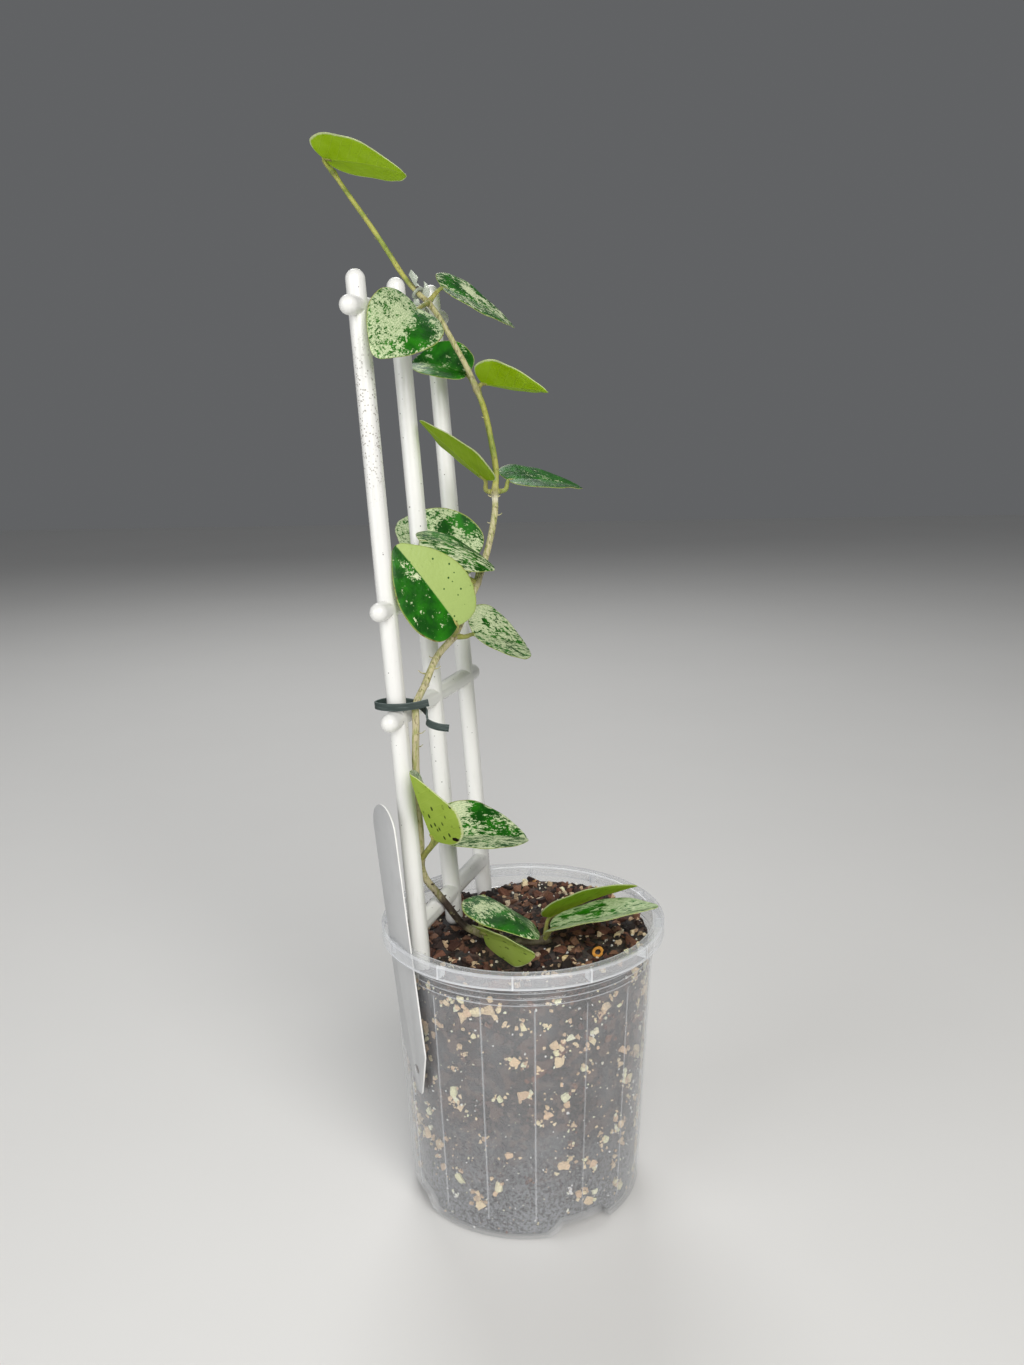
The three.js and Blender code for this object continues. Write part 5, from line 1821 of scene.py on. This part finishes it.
@dataclass
class PottingMix:
    """The mix: a damp crumbly bed that keeps the CAD's shape, with lumps on top and at the wall.

    The shares give how often a lump is bark, pumice or perlite. damp holds two azimuths and the height
    under which the bark between them is dark. The hollow is where the mix has sunk from the wall.
    """

    pot: NurseryPot
    seed: int = 5
    voxel: float = 1.3
    shapes: int = 14
    inset: float = 0.7
    top_lumps: int = 1350
    top_shares: tuple = (0.66, 0.16, 0.18)
    clusters: int = 330
    cluster_shares: tuple = (0.14, 0.84, 0.02)
    wall_flecks: int = 1900
    fleck_shares: tuple = (0.25, 0.35, 0.40)
    # Lumps at the wall and on top are brightened as painted light, for light lost through the wall and
    # under the leaves.
    wall_painted_light: float = 1.75
    top_painted_light: float = 1.5
    damp: tuple = (-80.0, -8.0, 40.0)
    damp_lift: float = 0.12
    chips: tuple = (
        Chip(30.2, -26, 1.9, (0.80, 0.36, 0.05), ring=True),
        Chip(5.7, 47.5, 2.6, (0.60, 0.32, 0.12), 0.35),
        Chip(8, 28.9, 2.6, (0.72, 0.62, 0.46)), Chip(-6.4, 22.6, 2.2, (0.74, 0.60, 0.42)),
        Chip(34.4, 26.7, 3.0, (0.74, 0.68, 0.54)), Chip(12, -41, 2.4, (0.60, 0.42, 0.22)),
        Chip(16.6, -29.9, 2.0, (0.62, 0.48, 0.26)), Chip(22, -34, 1.7, (0.72, 0.66, 0.55)),
        Chip(-3, 34, 2.2, (0.60, 0.46, 0.30)), Chip(17, 34, 2.0, (0.64, 0.50, 0.34)),
        Chip(41, -8, 2.4, (0.62, 0.52, 0.36)), Chip(-22, -38, 2.4, (0.28, 0.20, 0.12)),
    )
    hollow_azimuth: float = 24.0
    hollow_low: float = 84.0
    hollow_depth: float = 4.0
    clear: float = 0.8
    above: float = 160.0
    wall_reach: tuple = (2.0, 112.0)
    sharp: float = 32.0
    bed_sharp: float = 60.0

    def _bed(self, finish: Finish, draw: Draws) -> Piece:
        """The bed: the CAD solid's surface remade finely and roughened inwards.

        Args:
            finish: its finish.
            draw: gives the roughness.

        Returns:
            The bed.
        """
        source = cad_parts["potting_mix"]
        mesh = source.data.copy()
        mesh.materials.clear()
        mesh.materials.append(finish)
        bed = added("mix_bed", mesh)
        remesh = bed.modifiers.new("fine", "REMESH")
        remesh.mode = "VOXEL"
        remesh.voxel_size = self.voxel * MM
        settle(bed)
        count = len(bed.data.vertices)
        points = np.zeros(count * 3, np.float32)
        bed.data.vertices.foreach_get("co", points)
        points = points.reshape(-1, 3) / MM
        reach = np.hypot(points[:, 0], points[:, 1])
        shift = draw.normal(0, 0.22, count)
        at_wall = reach > self.pot.inside_at(0) - 3
        inwards = np.where(at_wall, -np.abs(shift) - self.inset, shift * 0.6)
        away = apart(np.degrees(np.arctan2(points[:, 1], points[:, 0])), self.hollow_azimuth)
        hollow = np.exp(-(away / 13) ** 2) * np.clip((points[:, 2] - self.hollow_low) / 18, 0, 1)
        inwards = inwards - np.where(at_wall, self.hollow_depth * hollow, 0)
        points[:, :2] *= (1 + inwards / np.maximum(reach, 5))[:, None]
        bed.data.vertices.foreach_set("co", (points * MM).ravel())
        bed.data.update()
        smooth(bed, self.bed_sharp)
        return bed

    def _shape(self, draw: Draws, fine: bool) -> Form:
        """One angular lump of about unit half-length.

        Args:
            draw: gives its corners.
            fine: whether its faces are broken up.

        Returns:
            The lump.
        """
        work = bmesh.new()
        for _ in range(12):
            spot = draw.normal(size=3)
            work.verts.new(spot / np.linalg.norm(spot) * draw.uniform(0.75, 1.0))
        hull = bmesh.ops.convex_hull(work, input=work.verts)
        bmesh.ops.delete(work, geom=hull["geom_interior"], context="VERTS")
        if fine:
            bmesh.ops.subdivide_edges(work, edges=work.edges, cuts=1, use_grid_fill=True)
            for vert in work.verts:
                vert.co *= 1 + draw.normal(0, 0.11)
        bmesh.ops.triangulate(work, faces=work.faces)
        work.verts.index_update()
        points = np.array([v.co for v in work.verts])
        faces = [tuple(v.index for v in face.verts) for face in work.faces]
        work.free()
        return Form(points, faces)

    def _lump(self, shape: Form, kind: Kind, size: float, centre: Sequence[float], outward: Vector,
              draw: Draws) -> Form:
        """A lump laid flat on a surface.

        Args:
            shape: its shape, of unit size.
            kind: gives its flatness and colour.
            size: its half-length.
            centre: its place.
            outward: the surface's normal.
            draw: gives its turn and the choice among its kind's colours.

        Returns:
            The lump, with its colour in a mesh layer.
        """
        flat = draw.uniform(*kind.flat)
        scaled = shape.points * np.array([size, size * draw.uniform(0.6, 0.95), size * flat])
        spin = Matrix.Rotation(draw.uniform(0, 2 * math.pi), 3, "Z")
        tip = Matrix.Rotation(draw.normal(0, 0.4), 3, "X")
        tip = tip @ Matrix.Rotation(draw.normal(0, 0.4), 3, "Y")
        turn = Vector((0, 0, 1)).rotation_difference(outward).to_matrix() @ tip @ spin
        placed = scaled @ np.array(turn).T + np.asarray(centre)
        colour = np.array(kind.colours[draw.integers(len(kind.colours))])
        colour = colour * draw.uniform(0.75, 1.2)
        return Form(placed, shape.faces, None, {"tone_and_painted_light": np.tile(colour, (len(placed), 1))})

    def _top(self, shapes: list, chips: list, tree: BVHTree, keep_clear: KDTree,
             draw: Draws) -> list:
        """Lumps strewn over the top, clear of leaves, poles and label.

        Args:
            shapes: the broken shapes, for large lumps.
            chips: the plain shapes, for small ones.
            tree: the bed's surface.
            keep_clear: the points of the pieces that they keep clear of.
            draw: gives kinds, sizes and places.

        Returns:
            The lumps.
        """
        lumps = []
        limit = self.pot.inside_at(115) - 0.8
        for _ in range(self.top_lumps):
            name = draw.choice(list(Lump), p=self.top_shares)
            kind = KINDS[name]
            size = kind.sizes[0] + (kind.sizes[1] - kind.sizes[0]) * draw.uniform() ** 1.4
            turn, out = draw.uniform(0, 2 * math.pi), (limit - size) * math.sqrt(draw.uniform())
            spot = Vector((out * math.cos(turn), out * math.sin(turn), self.above)) * MM
            hit, normal, _, _ = tree.ray_cast(spot, Vector((0, 0, -1)))
            if hit is None or hit.z / MM < 105:
                continue
            centre = np.array(hit) / MM + np.array(normal) * size * draw.uniform(-0.1, 0.35)
            _, _, gap = keep_clear.find(Vector(centre) * MM)
            if gap / MM < size * 0.85 + self.clear:
                continue
            pool = shapes if size > 1.2 else chips
            shape = pool[draw.integers(len(pool))]
            lumps.append(self._lump(shape, kind, size, centre, normal, draw))
            # Brightened as painted light, for the shade that falls under the leaves.
            lumps[-1].layers["tone_and_painted_light"] = np.minimum(lumps[-1].layers["tone_and_painted_light"] * self.top_painted_light, 0.9)
        return lumps

    def _pressed(self, azimuth: float, height: float, kind: Kind, size: float, shape: Form,
                 draw: Draws) -> Optional[Form]:
        """A lump flattened against the clear wall.

        Args:
            azimuth: its direction, in degrees.
            height: its height.
            kind: its kind.
            size: its half-length.
            shape: its unit shape.
            draw: gives its turn and colour.

        Returns:
            The lump, or nothing where the mix doesn't reach the wall.
        """
        off = abs(apart(azimuth, self.hollow_azimuth))
        from_notch = min(abs(apart(azimuth, notch)) for notch in self.pot.notches)
        lowest, highest = self.wall_reach
        hollow = off < 18 and height > self.hollow_low
        at_notch = from_notch < 21 and height < self.pot.notch_height + 2 + size
        if hollow or at_notch or not lowest + size < height < highest:
            return None
        turn = math.radians(azimuth)
        outward = Vector((math.cos(turn), math.sin(turn), 0))
        reach = self.pot.inside_at(height) - size * 0.3
        centre = (reach * outward.x, reach * outward.y, height)
        lump = self._lump(shape, kind, size, centre, outward, draw)
        low, high, under = self.damp
        wet = low < apart(azimuth, 0) < high and height < under and kind is KINDS[Lump.BARK]
        # Damp bark is darkened; other lumps at the wall are brightened as painted light.
        lift = self.damp_lift if wet else self.wall_painted_light
        lump.layers["tone_and_painted_light"] = np.minimum(lump.layers["tone_and_painted_light"] * lift, 0.92)
        spread = np.hypot(lump.points[:, 0], lump.points[:, 1])
        limit = self.pot.inside_at(lump.points[:, 2]) - 0.05
        lump.points[:, :2] *= np.minimum(1, limit / spread)[:, None]
        return lump

    def _wall(self, shapes: list, chips: list, draw: Draws) -> list:
        """Clusters of pumice and bark, and scattered flecks, against the clear wall.

        Args:
            shapes: the broken shapes, for the clusters.
            chips: the plain shapes, for the flecks.
            draw: gives kinds, sizes and places.

        Returns:
            The lumps.
        """
        lumps = []
        for _ in range(self.clusters):
            azimuth, height = draw.uniform(0, 360), 5 + 106 * draw.uniform() ** 0.75
            name = draw.choice(list(Lump), p=self.cluster_shares)
            kind, big = KINDS[name], 1.4 + 2.6 * draw.uniform() ** 1.6
            for number in range(draw.integers(3, 9)):
                size = big * (1.0 if number == 0 else draw.uniform(0.25, 0.65))
                spread = 0 if number == 0 else big * draw.uniform(0.7, 1.8)
                turn = draw.uniform(0, 2 * math.pi)
                shape = shapes[draw.integers(len(shapes))]
                lumps.append(self._pressed(azimuth + spread * math.cos(turn) * 1.1,
                                           height + spread * math.sin(turn), kind, size, shape, draw))
        for _ in range(self.wall_flecks):
            name = draw.choice(list(Lump), p=self.fleck_shares)
            size = 0.22 + 0.75 * draw.uniform() ** 2.2
            chip = chips[draw.integers(len(chips))]
            lumps.append(self._pressed(draw.uniform(0, 360), draw.uniform(3, 111), KINDS[name], size,
                                       chip, draw))
        return [lump for lump in lumps if lump]

    def _placed_chips(self, shapes: list, bed: BVHTree, draw: Draws) -> list:
        """The chips that stand out on top, each where the photograph has it.

        Args:
            shapes: the broken shapes.
            bed: the bed's surface.
            draw: gives their turns.

        Returns:
            The chips.
        """
        lumps = []
        for chip in self.chips:
            spot = Vector((chip.x, chip.y, self.above)) * MM
            hit, normal, _, _ = bed.ray_cast(spot, Vector((0, 0, -1)))
            centre = np.array(hit) / MM + np.array([0, 0, chip.size * (0.8 if chip.ring else 0.45)])
            shape = self._hoop(chip.size) if chip.ring else shapes[draw.integers(len(shapes))]
            kind = Kind((0, 0), (chip.flat, chip.flat), (chip.colour,))
            size = 1.0 if chip.ring else chip.size
            lumps.append(self._lump(shape, kind, size, centre, normal, draw))
        return lumps

    @staticmethod
    def _hoop(radius: float) -> Form:
        """A small ring of curled bark."""
        turn = np.linspace(0, 2 * math.pi, 21)[:-1]
        path = np.stack([radius * np.cos(turn), radius * np.sin(turn), 0.2 * np.sin(2 * turn)], 1)
        return tube(np.vstack([path, path[:1] + 0.01]), np.full(21, radius * 0.36), 8)

    def build(self, bed_finish: Finish, grit: Finish, neighbours: Sequence[Piece]) -> list[Piece]:
        """Makes the bed and its lumps.

        Args:
            bed_finish: the bed's finish.
            grit: the lumps' finish.
            neighbours: pieces that the lumps keep clear of.

        Returns:
            The bed and the lumps.
        """
        draw = np.random.default_rng(self.seed)
        bed = self._bed(bed_finish, draw)
        spots = [v.co for piece in neighbours for v in piece.data.vertices if v.co.z < 0.14]
        tree = KDTree(len(spots))
        for number, spot in enumerate(spots):
            tree.insert(spot, number)
        tree.balance()
        shapes = [self._shape(draw, True) for _ in range(self.shapes)]
        chips = [self._shape(draw, False) for _ in range(self.shapes)]
        surface = BVHTree.FromObject(bed, bpy.context.evaluated_depsgraph_get())
        lumps = self._top(shapes, chips, surface, tree, draw) + self._wall(shapes, chips, draw)
        lumps += self._placed_chips(shapes, surface, draw)
        grains = make_object("mix_lumps", together(lumps), [grit], self.sharp)
        mount_piece(bed, "potting_mix", "potting_mix")
        mount_piece(grains, "potting_mix")
        return [bed, grains]


# ---- camera, floor and light
@dataclass
class Studio:
    """A plain pale floor, soft light and the photograph's viewpoint.

    Each light panel has a name, a place, a width, a power and a tint.
    """

    eye: tuple = (-0.0031, -0.4991, 0.33807)
    pitch: float = 12.80
    roll: float = -0.888
    lens: float = 33.02
    sensor: float = 36.0
    nearest: float = 0.02
    floor_size: float = 6.0
    aim: tuple = (0.0, 0.0, 0.2)
    panels: tuple = (
        ("key", (0.35, -1.3, 1.15), 1.1, 27.0, (1.0, 0.98, 0.96)),
        ("fill", (-1.1, -0.8, 0.6), 1.0, 7.0, (0.97, 0.98, 1.0)),
        ("back", (-0.2, 1.2, 1.3), 0.8, 8.0, (1.0, 1.0, 1.0)),
    )
    sky: float = 0.15
    sky_tint: tuple = (0.80, 0.82, 0.85)

    def camera(self) -> None:
        """Puts the camera where the photograph was taken from."""
        data = bpy.data.cameras.new("camera")
        data.lens = self.lens
        data.sensor_width = self.sensor
        data.clip_start = self.nearest
        made = added("camera", data)
        look = Matrix.Rotation(math.radians(90 - self.pitch), 4, "X")
        made.matrix_world = Matrix.Translation(self.eye) @ look @ turned(self.roll)
        bpy.context.scene.camera = made

    def floor(self) -> None:
        """Lays the floor."""
        half = self.floor_size / 2
        mesh = bpy.data.meshes.new("floor")
        corners = [(-half, -half, 0), (half, -half, 0), (half, half, 0), (-half, half, 0)]
        mesh.from_pydata(corners, [], [(0, 1, 2, 3)])
        mesh.materials.append(PaleFloor().material())
        added("floor", mesh)

    def light(self) -> None:
        """Hangs the panels, turned to the part, and sets the sky."""
        for name, place, width, power, tint in self.panels:
            data = bpy.data.lights.new(name, "AREA")
            data.shape = "SQUARE"
            data.size = width
            data.energy = power
            data.color = tint
            made = added(name, data)
            made.location = place
            look = Vector(self.aim) - Vector(place)
            made.rotation_euler = look.to_track_quat("-Z", "Y").to_euler()
        world = bpy.data.worlds.new("sky")
        world.use_nodes = True
        sky = world.node_tree.nodes["Background"]
        sky.inputs["Color"].default_value = (*self.sky_tint, 1.0)
        sky.inputs["Strength"].default_value = self.sky
        bpy.context.scene.world = world
        bpy.context.scene.view_settings.view_transform = "Standard"


def main() -> None:
    """Builds and dresses every piece."""
    logging.basicConfig(level=logging.INFO, format="%(message)s")
    studio = Studio()
    studio.camera()
    studio.floor()
    studio.light()
    bark = CaneBark().material()
    pot, trellis, label, cane = NurseryPot(), LadderTrellis(), PlantLabel(), VineCane()
    milky = ClearPlastic("milky_plastic", haze=0.8)
    # The tag's cut edge is painted near white, a painted highlight.
    edge = TagSheet("tag_edge_painted_highlight", (0.86, 0.86, 0.84), (0.7, 0.7, 0.68))
    pot.build(ClearPlastic().material(), milky.material(), label.slot())
    ladder = trellis.build(WhitePlastic().material())
    tag = label.build(TagSheet().material(), edge.material())
    StrapTie().build(trellis, Strap().material(), CutEnd().material())
    VineClip().build(trellis, ClipPlastic().material(), DarkMetal().material())
    vine = cane.build(bark)
    leaves = Foliage(cane.nodes()).build(LeafTop().material(), LeafUnder().material(), bark)
    low = [ladder, tag, vine, *leaves[-4:]]
    PottingMix(pot).build(MixBed().material(), Grit().material(), low)


if __name__ == "__main__":
    main()
